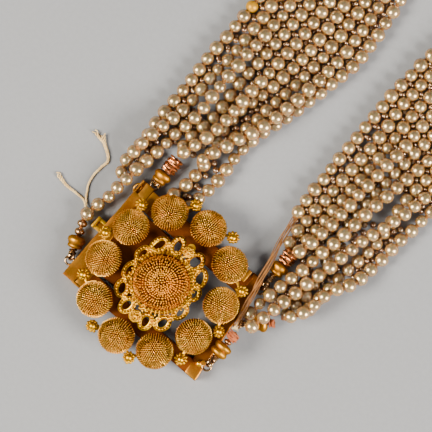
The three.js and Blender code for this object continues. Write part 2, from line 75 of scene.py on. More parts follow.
@dataclass
class Form:
    """A surface in millimetres."""

    points: np.ndarray  # one row of x, y, z for each point
    faces: np.ndarray  # four point numbers for each face, the last -1 on a triangle
    bare: np.ndarray | None = None  # for each point, 1 where it is clean and lit; low where it is tarnished or grimy, and low where shade is painted
    tint: np.ndarray | None = None  # for each point, its own shade between 0 and 1
    finish: np.ndarray | None = None  # for each face, its finish, or None for the piece's main one

    def __post_init__(self) -> None:
        """Fills in the rows that were left out."""
        if self.bare is None:
            self.bare = np.ones(len(self.points))
        if self.tint is None:
            self.tint = np.full(len(self.points), 0.5)
        if self.finish is None:
            self.finish = np.full(len(self.faces), None)

    def moved(self, turn: np.ndarray | None = None, shift: Sequence[float] = (0, 0, 0)) -> "Form":
        """Turns or scales the form by a 3 by 3 matrix, if there is one, and then shifts it."""
        points = self.points if turn is None else self.points @ np.asarray(turn).T
        return replace(self, points=points + np.asarray(shift, float))

    def copies(self, turns: np.ndarray, shifts: np.ndarray, tints: np.ndarray | None = None) -> "Form":
        """Repeats the form.

        Args:
            turns: One 3 by 3 matrix for each copy.
            shifts: One shift for each copy.
            tints: One shade for each copy, or None.

        Returns:
            All copies as one form.
        """
        count, size = len(shifts), len(self.points)
        points = np.einsum("cij,pj->cpi", turns, self.points) + shifts[:, None, :]
        steps = (np.arange(count) * size)[:, None, None]
        faces = np.where(self.faces[None] < 0, -1, self.faces[None] + steps)
        shade = np.tile(self.tint, count) if tints is None else np.repeat(tints, size)
        bare, finish = np.tile(self.bare, count), np.tile(self.finish, count)
        return Form(points.reshape(-1, 3), faces.reshape(-1, 4), bare, shade, finish)

    def finished(self, finish: "Finish") -> "Form":
        """Gives every face one finish."""
        return replace(self, finish=np.full(len(self.faces), finish))

    def dulled(self, bare: float) -> "Form":
        """Gives every point one value of its clean-and-lit mask; a low value stands for tarnish in a few
        places and for painted shade in most.
        """
        return replace(self, bare=np.full(len(self.points), float(bare)))


def joined(forms: Iterable[Form]) -> Form:
    """Puts forms side by side in one.

    Args:
        forms: The forms.

    Returns:
        One form with all their faces.
    """
    rows = list(forms)
    starts = np.cumsum([0] + [len(form.points) for form in rows[:-1]])
    faces = [np.where(form.faces < 0, -1, form.faces + start) for form, start in zip(rows, starts)]
    labels = ("points", "bare", "tint", "finish")
    points, *others = (np.concatenate([getattr(form, label) for form in rows]) for label in labels)
    return Form(points, np.concatenate(faces), *others)


def turned(profile: Sequence[Pair], sides: int) -> Form:
    """A closed turned form about the Z axis.

    Args:
        profile: Radius and height from the bottom to the top; it starts and ends on the axis.
        sides: Faces round the axis.

    Returns:
        The form.
    """
    points, rows = [], []
    for radius, height in profile:
        if radius == 0:
            rows.append([len(points)] * sides)
            points.append((0, 0, height))
        else:
            rows.append(list(range(len(points), len(points) + sides)))
            points.extend((radius * math.cos(a), radius * math.sin(a), height) for a in angles_round(sides))
    faces = []
    for low, high in zip(rows[:-1], rows[1:]):
        for side in range(sides):
            after = (side + 1) % sides
            if low[0] == low[-1]:
                faces.append((low[0], high[after], high[side], -1))
            elif high[0] == high[-1]:
                faces.append((low[side], low[after], high[0], -1))
            else:
                faces.append((low[side], low[after], high[after], high[side]))
    return Form(np.array(points, float), np.array(faces, int))


def peg(radius: float, low: float, high: float, sides: int) -> Form:
    """A plain upright cylinder between two heights."""
    return turned([(0.0, low), (radius, low), (radius, high), (0.0, high)], sides)


def ball(sides: int, rings: int) -> Form:
    """A round ball of radius 1 with its poles on the Z axis.

    Args:
        sides: Faces round the equator.
        rings: Faces from pole to pole.

    Returns:
        The ball.
    """
    angles = [math.pi * step / rings for step in range(rings + 1)]
    profile = [(math.sin(angle), -math.cos(angle)) for angle in angles]
    profile[0], profile[-1] = (0.0, -1.0), (0.0, 1.0)
    return turned(profile, sides)


def frames_along(route: np.ndarray, closed: bool = False) -> tuple[np.ndarray, np.ndarray]:
    """Two directions across a route at each of its points, without sudden turns.

    Args:
        route: The points of the route.
        closed: Whether its end meets its start.

    Returns:
        The first and the second direction at each point.
    """
    ahead = np.roll(route, -1, 0) - np.roll(route, 1, 0)
    if not closed:
        ahead[0], ahead[-1] = route[1] - route[0], route[-1] - route[-2]
    ahead /= np.linalg.norm(ahead, axis=1)[:, None]
    first = np.zeros_like(route)
    start = np.array([0.0, 0.0, 1.0]) if abs(ahead[0][2]) < 0.9 else np.array([1.0, 0.0, 0.0])
    for index, direction in enumerate(ahead):
        start = start - direction * (start @ direction)
        start /= np.linalg.norm(start)
        first[index] = start
    return first, np.cross(ahead, first)


def rod(
    route: np.ndarray, radius: float | np.ndarray, sides: int = 6, closed: bool = False, flat: float = 1.0
) -> Form:
    """A round rod along a route.

    Args:
        route: The points of its middle line.
        radius: One radius, or one for each point.
        sides: Faces round it.
        closed: Whether its end meets its start.
        flat: Its thickness across, as a share of its thickness upwards.

    Returns:
        The rod, with blunt points as ends where it is open.
    """
    route = np.asarray(route, float)
    count = len(route)
    radii = np.broadcast_to(radius, (count,))
    first, second = frames_along(route, closed)
    angles = angles_round(sides)[None, :, None]
    across = first[:, None] * np.cos(angles) + second[:, None] * np.sin(angles) * flat
    points = (route[:, None] + across * radii[:, None, None]).reshape(-1, 3)
    faces = []
    for step in range(count if closed else count - 1):
        here, there = step * sides, ((step + 1) % count) * sides
        for side in range(sides):
            after = (side + 1) % sides
            faces.append((here + side, here + after, there + after, there + side))
    if closed:
        return Form(points, np.array(faces, int))
    ends = []
    for index, neighbour in ((0, 1), (count - 1, count - 2)):
        out = route[index] - route[neighbour]
        ends.append(route[index] + out / np.linalg.norm(out) * radii[index] * 0.5)
    base, last = len(points), (count - 1) * sides
    for side in range(sides):
        after = (side + 1) % sides
        faces.append((base, after, side, -1))
        faces.append((base + 1, last + side, last + after, -1))
    return Form(np.vstack([points, ends]), np.array(faces, int))


def ring(radius: float, wire: float, sides: int = 10, steps: int = 36) -> Form:
    """A closed ring of round wire, flat in the XY plane; radius runs to the middle of the wire."""
    return rod(points_round(radius, angles_round(steps), 0.0), wire, sides, closed=True)


def slab(low: Triple, high: Triple, edge: float, cell: float) -> Form:
    """A block with rounded edges, made of small faces so that it can be bent and dented.

    Args:
        low: Its lowest corner.
        high: Its highest corner.
        edge: The radius of its edges.
        cell: About how large its faces are.

    Returns:
        The block.
    """
    corner = np.array([0.0, 0.3, 0.65, 1.0]) * edge
    lines = []
    for start, end in zip(low, high):
        count = max(1, round((end - start - 2 * edge) / cell))
        inner = np.linspace(start + edge, end - edge, count + 1)[1:-1]
        lines.append(np.concatenate([start + corner, inner, end - corner[::-1]]))
    points, faces = [], []
    for axis in range(3):
        one, two = (axis + 1) % 3, (axis + 2) % 3
        for side, place in ((-1, low[axis]), (1, high[axis])):
            base = len(points)
            width = len(lines[two])
            for first in lines[one]:
                for second in lines[two]:
                    spot = [0.0, 0.0, 0.0]
                    spot[axis], spot[one], spot[two] = place, first, second
                    points.append(spot)
            for i in range(len(lines[one]) - 1):
                for j in range(width - 1):
                    a = base + i * width + j
                    quad = (a, a + width, a + width + 1, a + 1)
                    faces.append(quad if side > 0 else quad[::-1])
    kept, numbers = np.unique(np.round(np.array(points), 6), axis=0, return_inverse=True)
    inside = np.clip(kept, np.array(low) + edge, np.array(high) - edge)
    away = kept - inside
    kept = inside + away / np.linalg.norm(away, axis=1)[:, None] * edge
    return Form(kept, numbers.reshape(-1)[np.array(faces, int)])


def leaned(form: Form, corners: Sequence[Pair]) -> Form:
    """Bends a block that spans 0 to 1 across and 0 to 1 along to four corners.

    Args:
        form: The block.
        corners: The corners at (0, 0), (1, 0), (1, 1) and (0, 1).

    Returns:
        The bent block.
    """
    a, b, c, d = (np.array(corner) for corner in corners)
    u, v = form.points[:, :1], form.points[:, 1:2]
    flat = a * (1 - u) * (1 - v) + b * u * (1 - v) + c * u * v + d * (1 - u) * v
    return Form(np.hstack([flat, form.points[:, 2:]]), form.faces)


def swell(points: np.ndarray, wave: float, seed: float) -> np.ndarray:
    """Smooth unevenness between -1 and 1, the same each time.

    Args:
        points: Where to read it.
        wave: The length of its waves.
        seed: Which unevenness.

    Returns:
        One value for each point.
    """
    total = np.zeros(len(points))
    for turn in range(4):
        angle = seed * 2.1 + turn * 1.7
        across = np.array([math.cos(angle), math.sin(angle), 0.6 * math.cos(angle * 2.3)])
        total += np.sin(points @ across * TAU / (wave * (1 + 0.35 * turn)) + seed * 5 + turn)
    return total / 4


# Lines, turns and places


def angles_round(count: int) -> np.ndarray:
    """Evenly spaced angles round a full turn."""
    return np.arange(count) * TAU / count


def points_round(reach: float | np.ndarray, angles: np.ndarray, height: float | np.ndarray) -> np.ndarray:
    """Points at given distances, angles and heights about the Z axis."""
    heights = np.broadcast_to(height, angles.shape)
    return np.stack([reach * np.cos(angles), reach * np.sin(angles), heights], 1)


def ways_out(polar: np.ndarray, around: np.ndarray) -> np.ndarray:
    """Directions from their angles down from the Z axis and round it."""
    return points_round(np.sin(polar), around, np.cos(polar))


def wraps(turns: int, steps: int) -> tuple[np.ndarray, np.ndarray]:
    """The share of the way along a coil and the angle round it, at steps points in each turn."""
    share = np.linspace(0, 1, turns * steps)
    return share, share * turns * TAU


def facing(direction: Sequence[float], spin: float = 0.0) -> np.ndarray:
    """A turn that brings the Z axis to a direction, after a spin about it."""
    turn = Vector(direction).to_track_quat("Z", "Y").to_matrix()
    return np.array(turn @ Matrix.Rotation(spin, 3, "Z"))


def round_z(degrees: float) -> np.ndarray:
    """A turn about the Z axis."""
    return np.array(Matrix.Rotation(math.radians(degrees), 3, "Z"))


def between(one: np.ndarray, two: np.ndarray, time: np.ndarray, start: float, end: float) -> np.ndarray:
    """Points between two, at times between those of the two."""
    return (one * (end - time) + two * (time - start)) / (end - start)


def smooth_route(points: Sequence[Sequence[float]], spacing: float) -> np.ndarray:
    """A smooth line through points, as closely spaced points of its own.

    Args:
        points: The points that it goes through.
        spacing: The distance between the new points.

    Returns:
        The new points, evenly spaced.
    """
    knots = np.array(points, float)
    knots = np.vstack([2 * knots[0] - knots[1], knots, 2 * knots[-1] - knots[-2]])
    pieces = []
    for line in zip(knots, knots[1:], knots[2:], knots[3:]):
        steps = [np.linalg.norm(end - start) ** 0.5 for start, end in zip(line, line[1:])]
        t0, t1, t2, t3 = np.cumsum([0.0] + steps)
        time = np.linspace(t1, t2, 24, endpoint=False)[:, None]
        before = between(line[0], line[1], time, t0, t1)
        middle = between(line[1], line[2], time, t1, t2)
        after = between(line[2], line[3], time, t2, t3)
        before, after = between(before, middle, time, t0, t2), between(middle, after, time, t1, t3)
        pieces.append(between(before, after, time, t1, t2))
    fine = np.vstack(pieces + [knots[-2:-1]])
    return spaced(fine, np.arange(0, length_of(fine), spacing))


def length_of(route: np.ndarray) -> float:
    """The length of a route."""
    return float(np.linalg.norm(np.diff(route, axis=0), axis=1).sum())


def spaced(route: np.ndarray, places: np.ndarray) -> np.ndarray:
    """Points at given distances from the start of a route."""
    run = np.concatenate([[0.0], np.cumsum(np.linalg.norm(np.diff(route, axis=0), axis=1))])
    return np.stack([np.interp(places, run, route[:, axis]) for axis in range(3)], 1)


def wound(route: np.ndarray, reach: np.ndarray, angle: np.ndarray, flat: float = 1.0) -> np.ndarray:
    """A line wound round a route at given distances and angles, flattened in the first direction."""
    first, second = frames_along(route)
    return route + first * (reach * np.cos(angle) * flat)[:, None] + second * (reach * np.sin(angle))[:, None]


# Finishes


class Wiring:
    """A node tree while it is being wired."""

    def __init__(self, tree: bpy.types.NodeTree) -> None:
        """Keeps the tree's nodes and links at hand."""
        self.nodes = tree.nodes
        self.links = tree.links

    def feed(self, socket: Socket, value: object) -> None:
        """Links a node's output to a socket, or sets the socket's own value.

        Args:
            socket: The socket.
            value: A node's output, a number or a colour.
        """
        if isinstance(value, Socket):
            self.links.new(value, socket)
        else:
            socket.default_value = value

    def node(self, kind: str, output: str, **inputs: object) -> Socket:
        """Adds a node.

        Args:
            kind: Its type.
            output: The name of the output that is used.
            **inputs: The names of its sockets, with _ for a space, and their values.

        Returns:
            The output.
        """
        node = self.nodes.new(kind)
        for name, value in inputs.items():
            self.feed(node.inputs[name.replace("_", " ")], value)
        return node.outputs[output]

    def fitted(self, source: Socket, low: float, high: float, to: Pair = (0, 1)) -> Socket:
        """Stretches the values between low and high to another range and holds them there."""
        span = {"From_Min": low, "From_Max": high, "To_Min": to[0], "To_Max": to[1]}
        return self.node("ShaderNodeMapRange", "Result", Value=source, **span)

    def worked(self, one: object, two: object, operation: str = "MULTIPLY") -> Socket:
        """Works on two numbers.

        Args:
            one: The first, a node's output or a plain number.
            two: The second.
            operation: What is done with them.

        Returns:
            The result.
        """
        node = self.nodes.new("ShaderNodeMath")
        node.operation = operation
        self.feed(node.inputs[0], one)
        self.feed(node.inputs[1], two)
        return node.outputs[0]


class Shader(Wiring):
    """The node tree of one material while it is being wired."""

    def __init__(self, name: str) -> None:
        """Starts a material with a plain surface.

        Args:
            name: The material's name.
        """
        self.material = bpy.data.materials.new(name)
        self.material.use_nodes = True
        super().__init__(self.material.node_tree)
        self.surface = self.nodes["Principled BSDF"]
        self.place = self.node("ShaderNodeTexCoord", "Object")

    def grain(self, size: float, detail: float = 2.0, stretch: Triple | None = None) -> Socket:
        """Cloudy noise.

        Args:
            size: The size of its patches in millimetres.
            detail: How many finer layers it has.
            stretch: How far to squeeze it along each axis, or None.

        Returns:
            Its value, about 0.5 on average.
        """
        place = self.place
        if stretch is not None:
            place = self.node("ShaderNodeMapping", "Vector", Vector=place, Scale=stretch)
        return self.node("ShaderNodeTexNoise", "Fac", Vector=place, Scale=1 / (size * MM), Detail=detail)

    def value(self, name: str) -> Socket:
        """Reads one of the numbers that a form keeps at its points.

        Args:
            name: The number's name.

        Returns:
            The number.
        """
        node = self.nodes.new("ShaderNodeAttribute")
        node.attribute_name = name
        return node.outputs["Fac"]

    def upward(self) -> Socket:
        """How far the surface faces up: 1 on top, 0 on the side and below."""
        normal = self.node("ShaderNodeNewGeometry", "Normal")
        return self.fitted(self.node("ShaderNodeSeparateXYZ", "Z", Vector=normal), 0.0, 1.0)

    def blend(self, share: object, one: object, two: object, mode: str = "MIX") -> Socket:
        """Mixes two colours.

        Args:
            share: How much of the second colour.
            one: The first colour.
            two: The second colour.
            mode: How they are mixed.

        Returns:
            The mixed colour.
        """
        node = self.nodes.new("ShaderNodeMix")
        node.data_type = "RGBA"
        node.blend_type = mode
        self.feed(node.inputs[0], share)
        self.feed(node.inputs[6], colour(one))
        self.feed(node.inputs[7], colour(two))
        return node.outputs[2]

    def relief(self, height: Socket, depth: float, strength: float = 1.0) -> None:
        """Roughens the surface by a height of 0 to 1; depth is what 1 means, in millimetres."""
        bump = self.node("ShaderNodeBump", "Normal", Height=height, Distance=depth * MM, Strength=strength)
        self.feed(self.surface.inputs["Normal"], bump)

    def settle(self, **settings: object) -> bpy.types.Material:
        """Sets the surface's own sockets.

        Args:
            **settings: The sockets' names, with _ for a space, and their values.

        Returns:
            The finished material.
        """
        for name, value in settings.items():
            self.feed(self.surface.inputs[name.replace("_", " ")], value)
        return self.material


def colour(value: object) -> object:
    """A colour with its alpha, or the node's output that was given."""
    return (*value, 1.0) if isinstance(value, tuple) and len(value) == 3 else value


@dataclass(frozen=True)
class Gold:
    """One gold finish."""

    name: str  # the material's name
    slot: str  # the record's material slot
    bright: Triple  # the colour where it is clean and no shade is painted
    deep: Triple  # the colour where tarnish lies, and where shade is painted
    patch: Triple  # the colour of its worn patches
    patch_size: float  # their size in millimetres
    rough: Pair  # its roughness where rubbed and where dull
    grain_size: float = 0.12  # the size of its fine grain in millimetres
    grain_depth: float = 0.02  # how deep the grain is, in millimetres
    metal: float = 1.0  # how metallic it is; the rest is matte

    def build(self) -> bpy.types.Material:
        """Wires the material.

        Returns:
            The material.
        """
        shader = Shader(self.name)
        bare = shader.value("bare")
        cloud = shader.fitted(shader.grain(self.patch_size, 3), 0.42, 0.62)
        fine = shader.grain(self.grain_size, 3)
        face = shader.blend(cloud, self.bright, self.patch)
        # the clean-and-lit mask with fine grain: low values take the deep colour, as tarnish in some places
        # and as painted shade in others
        dull = shader.worked(bare, shader.fitted(fine, 0.2, 0.8, (0.75, 1.15)))
        tone = shader.blend(dull, self.deep, face)
        rough = shader.fitted(shader.worked(dull, cloud, "SUBTRACT"), -0.6, 1.0, self.rough[::-1])
        shader.relief(fine, self.grain_depth)
        return shader.settle(
            Base_Color=tone,
            Metallic=self.metal,
            Roughness=rough,
            Specular_IOR_Level=0.25,
            Specular_Tint=(1.0, 0.80, 0.45, 1.0),
        )


@dataclass(frozen=True)
class PearlLustre:
    """Cream pearl surface whose sides are painted darker and warmer brown, as painted shade and painted
    reflection of neighbouring pearls; grime lies round the drill holes.
    """

    name: str = "pearl_lustre"  # the material's name
    slot: str = "pearl"  # the record's material slot
    # the two colours that the tops lie between
    crown: tuple[Triple, Triple] = ((0.44, 0.33, 0.17), (0.29, 0.205, 0.095))
    # the two colours that the sides lie between: painted shade and painted reflection, darker and warmer than
    # the tops
    side: tuple[Triple, Triple] = ((0.31, 0.16, 0.043), (0.205, 0.098, 0.026))
    grime: Triple = (0.14, 0.05, 0.012)  # the colour round the drill holes

    def build(self) -> bpy.types.Material:
        """Wires the material.

        Returns:
            The material.
        """
        shader = Shader(self.name)
        tint = shader.value("tint")
        cloud = shader.fitted(shader.grain(0.9, 2), 0.3, 0.7, (-0.12, 0.12))
        rise = shader.worked(shader.upward(), cloud, "ADD")
        crown, side = shader.blend(tint, *self.crown), shader.blend(tint, *self.side)
        # The sides take the darker, warmer colours and the tops the lighter ones: painted shade and painted
        # reflection.
        shaded_nacre = shader.blend(shader.fitted(rise, 0.35, 1.0), side, crown)
        shader.relief(shader.grain(0.35, 2), 0.012, 0.5)
        return shader.settle(
            Base_Color=shader.blend(shader.value("bare"), self.grime, shaded_nacre),
            Metallic=shader.fitted(rise, 0.2, 0.9, (0.1, 0.8)),
            Roughness=0.26,
            IOR=1.6,
            Coat_Weight=1.0,
            Coat_Roughness=0.12,
            Coat_IOR=1.7,
            Subsurface_Weight=0.8,
            Subsurface_Radius=(1.0, 0.5, 0.2),
            Subsurface_Scale=0.0008,
        )


@dataclass(frozen=True)
class Silk:
    """Twisted silk thread."""

    name: str  # the material's name
    slot: str  # the record's material slot
    fresh: Triple  # the colour of its raised fibres
    aged: Triple  # the colour between them

    def build(self) -> bpy.types.Material:
        """Wires the material.

        Returns:
            The material.
        """
        shader = Shader(self.name)
        fibre = shader.grain(0.06, 2, (1.0, 0.35, 1.0))
        patch = shader.fitted(shader.grain(1.4, 2), 0.35, 0.65, (0.0, 0.5))
        tone = shader.blend(shader.worked(fibre, patch, "ADD"), self.aged, self.fresh)
        shader.relief(fibre, 0.03)
        return shader.settle(Base_Color=tone, Roughness=0.65, Specular_IOR_Level=0.2)


@dataclass(frozen=True)
class TablePaper:
    """The plain pale table's paper."""

    name: str = "pale_table"  # the material's name
    tone: Triple = (0.172, 0.181, 0.202)  # its colour

    def build(self) -> bpy.types.Material:
        """Wires the material.

        Returns:
            The material.
        """
        shader = Shader(self.name)
        speckle = shader.fitted(shader.grain(0.8, 3), 0.3, 0.7, (0.97, 1.03))
        return shader.settle(Base_Color=shader.blend(1.0, self.tone, speckle, "MULTIPLY"), Roughness=0.85)


class Finish(Enum):
    """The finishes of the necklace."""

    PIN_GOLD = Gold(
        "pin_gold", "matte_gold",
        (1.0, 0.58, 0.08), (0.08, 0.012, 0.001), (1.0, 0.46, 0.055), 2.5, (0.25, 0.4),
    )
    ORANGE_PIN_GOLD = Gold(
        "orange_pin_gold", "matte_gold",
        (0.9, 0.42, 0.03), (0.09, 0.014, 0.001), (0.88, 0.33, 0.018), 2.5, (0.36, 0.5),
    )
    # Dark gold of the plain domes, stems and rim wires under the pins: painted shade.
    RECESS_GOLD = Gold(
        "recess_gold", "matte_gold",
        (0.26, 0.07, 0.006), (0.09, 0.018, 0.0015), (0.16, 0.04, 0.004), 1.5, (0.5, 0.65),
    )
    LEMON_GOLD = Gold(
        "lemon_granule_gold", "lemon_gold",
        (0.75, 0.42, 0.007), (0.10, 0.02, 0.001), (0.64, 0.32, 0.005), 1.5, (0.28, 0.43),
    )
    BAR_GOLD = Gold(
        "bar_gold", "matte_gold",
        (0.43, 0.19, 0.02), (0.10, 0.026, 0.003), (0.27, 0.095, 0.009), 2.2, (0.32, 0.5), 0.2,
    )
    # Dark gold of the box, the seats and the arms under the rosette: painted shade on tarnished gold.
    BOX_GOLD = Gold(
        "box_gold", "matte_gold",
        (0.24, 0.065, 0.01), (0.05, 0.012, 0.002), (0.14, 0.035, 0.006), 3.0, (0.4, 0.6), 0.2,
    )
    SATIN_GOLD = Gold(
        "satin_gold", "copper_gold",
        (0.44, 0.205, 0.016), (0.11, 0.03, 0.004), (0.35, 0.14, 0.011), 1.2, (0.42, 0.56),
    )
    BROWN_BEAD = Gold(
        "brown_bead", "copper_gold",
        (0.46, 0.28, 0.14), (0.06, 0.02, 0.006), (0.30, 0.13, 0.05), 0.7, (0.22, 0.4),
    )
    COPPER_GOLD = Gold(
        "copper_bullion", "copper_gold",
        (0.66, 0.26, 0.09), (0.06, 0.012, 0.003), (0.36, 0.10, 0.03), 0.7, (0.18, 0.4),
    )
    DARK_METAL = Gold(
        "dark_metal", "copper_gold",
        (0.40, 0.26, 0.13), (0.03, 0.013, 0.007), (0.13, 0.06, 0.028), 0.8, (0.18, 0.35),
    )
    AMBER = Gold(
        "amber_bead", "copper_gold",
        (0.44, 0.22, 0.010), (0.22, 0.09, 0.005), (0.36, 0.17, 0.008), 1.0, (0.28, 0.4), metal=0.3,
    )
    PEARL = PearlLustre()
    SILK = Silk("brown_silk", "silk_thread", (0.22, 0.088, 0.019), (0.045, 0.014, 0.003))
    STRAW_SILK = Silk("straw_silk", "silk_thread", (0.70, 0.52, 0.25), (0.36, 0.19, 0.06))
    ROSE_SILK = Silk("rose_silk", "silk_thread", (0.36, 0.095, 0.03), (0.15, 0.026, 0.008))

    def material(self) -> bpy.types.Material:
        """The finish's material, made the first time that it is asked for."""
        return bpy.data.materials.get(self.value.name) or self.value.build()


# Bench: forms become pieces in the frame


def bench(
    name: str, form: Form, main: Finish, nodes: Sequence[str] = (), crease: float = 40.0
) -> bpy.types.Object:
    """Makes a piece from a form, in the part's frame.

    Args:
        name: The piece's name.
        form: The form, in millimetres in the clasp's frame.
        main: Its main finish, whose material comes first on the piece and covers the faces without one of
            their own.
        nodes: The solids that the piece stands for.
        crease: Edges sharper than this angle stay sharp, in degrees.

    Returns:
        The piece.
    """
    mesh = bpy.data.meshes.new(name)
    faces = [row[:3] if row[3] < 0 else row for row in form.faces.tolist()]
    mesh.from_pydata((form.points * MM + CLASP_CENTRE).tolist(), [], faces)
    for label, values in (("bare", form.bare), ("tint", form.tint)):
        mesh.attributes.new(label, "FLOAT", "POINT").data.foreach_set("value", values.astype(np.float32))
    covers = [finish or main for finish in form.finish]
    finishes = list(dict.fromkeys([main, *covers]))
    mesh.polygons.foreach_set("material_index", [finishes.index(finish) for finish in covers])
    for finish in finishes:
        mesh.materials.append(finish.material())
    mesh.shade_smooth()
    mesh.set_sharp_from_angle(angle=math.radians(crease))
    mesh.validate()
    piece = bpy.data.objects.new(name, mesh)
    bpy.context.scene.collection.objects.link(piece)
    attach(piece, BODY)
    if nodes:
        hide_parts(*nodes)
    return piece


# Granules and pins


def granules(places: np.ndarray, radii: np.ndarray | float, sides: int = 9, rings: int = 6) -> Form:
    """Small round grains of gold soldered side by side.

    Args:
        places: Their centres.
        radii: One radius, or one for each grain.
        sides: Faces round a grain.
        rings: Faces from its foot to its top.

    Returns:
        The grains.
    """
    grain = ball(sides, rings)
    # Each grain is darker towards its foot: painted shade under it.
    grain.bare = np.clip(grain.points[:, 2] * 0.6 + 0.75, 0.1, 1)
    sizes = np.broadcast_to(radii, (len(places),))
    return grain.copies(np.eye(3)[None] * sizes[:, None, None], np.asarray(places, float))


@dataclass(frozen=True)
class PinField:
    """Short pins that stand all over a dome."""

    radius: float  # the dome's radius over the pins' tips
    height: float  # its height over the tips
    length: float  # how far a pin stands out
    thick: float  # a pin's radius
    # rows of pins that stand in line from the rim upwards: the polar angle of the lowest and of
    # the highest row in degrees, the rows and the pins in a row
    ranks: tuple[tuple[float, float, int, int], ...]
    pitch: Pair  # the distance between the crown's rows, and between the pins in one of them
    twist: float  # how far each row is turned against the one below, in degrees
    ragged: float  # by how much the lowest pins' lengths differ, in millimetres
    uneven: float = 0.35  # how far the pins stand out of line, in degrees
    worn: float = 0.5  # how bright the dullest pin's tip is beside the brightest
    outline: tuple[Pair, ...] = (  # radius and height along a pin, as shares of its own
        (0.0, 0.0), (0.72, 0.0), (0.76, 0.7), (1.0, 0.82), (0.88, 0.94), (0.5, 0.99), (0.0, 1.0),
    )

    def directions(self, generator: Random) -> np.ndarray:
        """Where the pins point: rows in line low down and straight rows over the crown.

        Args:
            generator: The source of its unevenness.

        Returns:
            One direction for each pin, for a round dome of radius 1.
        """
        polar, around = [], []
        for low, high, rows, count in self.ranks:
            for row, angle in enumerate(np.linspace(low, high, rows)):
                polar.extend([angle] * count)
                around.extend(np.arange(count) * 360 / count + row * self.twist)
        edge = min(rank[1] for rank in self.ranks)
        across, along = (math.degrees(pitch / self.radius) for pitch in self.pitch)
        slant = generator.uniform(0, 360)
        for row in range(-int(edge / across) - 1, int(edge / across) + 2):
            for place in range(-int(edge / along) - 1, int(edge / along) + 2):
                x, y = (place + 0.5 * (row % 2)) * along, row * across
                distance = math.hypot(x, y)
                if distance < edge - 0.8 * along:
                    polar.append(distance)
                    around.append(math.degrees(math.atan2(y, x)) + slant)
        tilt = np.radians(np.array(polar) + generator.normal(0, self.uneven, len(polar)))
        stray = generator.normal(0, self.uneven, len(around)) / np.maximum(np.sin(tilt), 0.2)
        return ways_out(tilt, np.radians(np.array(around) + stray))

    def form(self, generator: Random) -> Form:
        """All the pins, on a dome whose rim lies at height 0.

        Args:
            generator: The source of its unevenness.

        Returns:
            The pins.
        """
        pin = turned(self.outline, 6)
        # Each pin is dark at its root and bright at its tip: painted shade down among the pins.
        pin.bare = np.clip(pin.points[:, 2] * 2.1 - 1.05, 0, 1)
        ways = self.directions(generator)
        squash = np.array([1, 1, self.height / self.radius])
        level = np.clip(ways[:, 2], 0, 1)
        reach = self.radius - self.ragged * (1 - level) * generator.uniform(0, 1, len(ways))
        tips = ways * reach[:, None] * squash
        outward = ways / squash
        outward /= np.linalg.norm(outward, axis=1)[:, None]
        lengths = self.length * generator.uniform(0.94, 1.0, len(ways))
        turns = np.stack([facing(way) for way in outward])
        turns[:, :, :2] *= (self.thick * (0.7 + 0.3 * level))[:, None, None]
        turns[:, :, 2] *= lengths[:, None]
        roots = tips - outward * self.length
        pins = pin.copies(turns, roots, generator.uniform(0, 1, len(ways)))
        # Each tip gets a random tone, and the pins low on the dome are made darker as well: painted shade
        # that shapes the dome.
        worn = generator.uniform(self.worn, 1.0, len(ways)) * (0.78 + 0.22 * np.sqrt(level))
        pins.bare = pins.bare * np.repeat(worn, len(pin.points))
        return pins


# The rosette


@dataclass(frozen=True, kw_only=True)
class PinDome:
    """A dome covered with pins, on a base plate and a stem."""

    radius: float  # its radius over the pins' tips
    crown: float  # how high the tips rise above the rim
    rim: float  # how far above its base the pins begin
    base: float  # the height of its base
    stem: float  # the radius of its stem
    stem_foot: float  # the height of the stem's foot
    under: Pair  # how far the plain dome lies inside the tips, at the rim and on top
    plate: Pair  # how far the base plate lies inside them, at its faces and at its edge
    wire: Pair  # how far the rim's wire lies inside them, and the wire's radius
    plate_thick: float = 0.24  # the base plate's thickness
    steps: int  # in how many steps the plain dome closes

    def outline(self, base: float) -> list[Pair]:
        """The outline of the plain dome under the pins.

        Args:
            base: The height of the base plate's underside.

        Returns:
            Radius and height from the plate's edge to the top.
        """
        inner, height = self.radius - self.under[0], self.crown - self.under[1]
        face, edge = (self.radius - inset for inset in self.plate)
        top, rim = base + self.plate_thick, base + self.rim
        plate = [(face, base), (edge, base + self.plate_thick / 2), (face, top), (inner, top)]
        angles = np.radians(np.arange(self.steps) * 90 / self.steps)
        curve = [(inner * math.cos(angle), rim + height * math.sin(angle)) for angle in angles]
        return [*plate, *curve, (0.0, rim + height)]

    def rim_wire(self, base: float, steps: int) -> Form:
        """The wire round the base plate, in so many steps."""
        inset, wire = self.wire
        return ring(self.radius - inset, wire, 6, steps).moved(shift=(0, 0, base + self.plate_thick / 2))


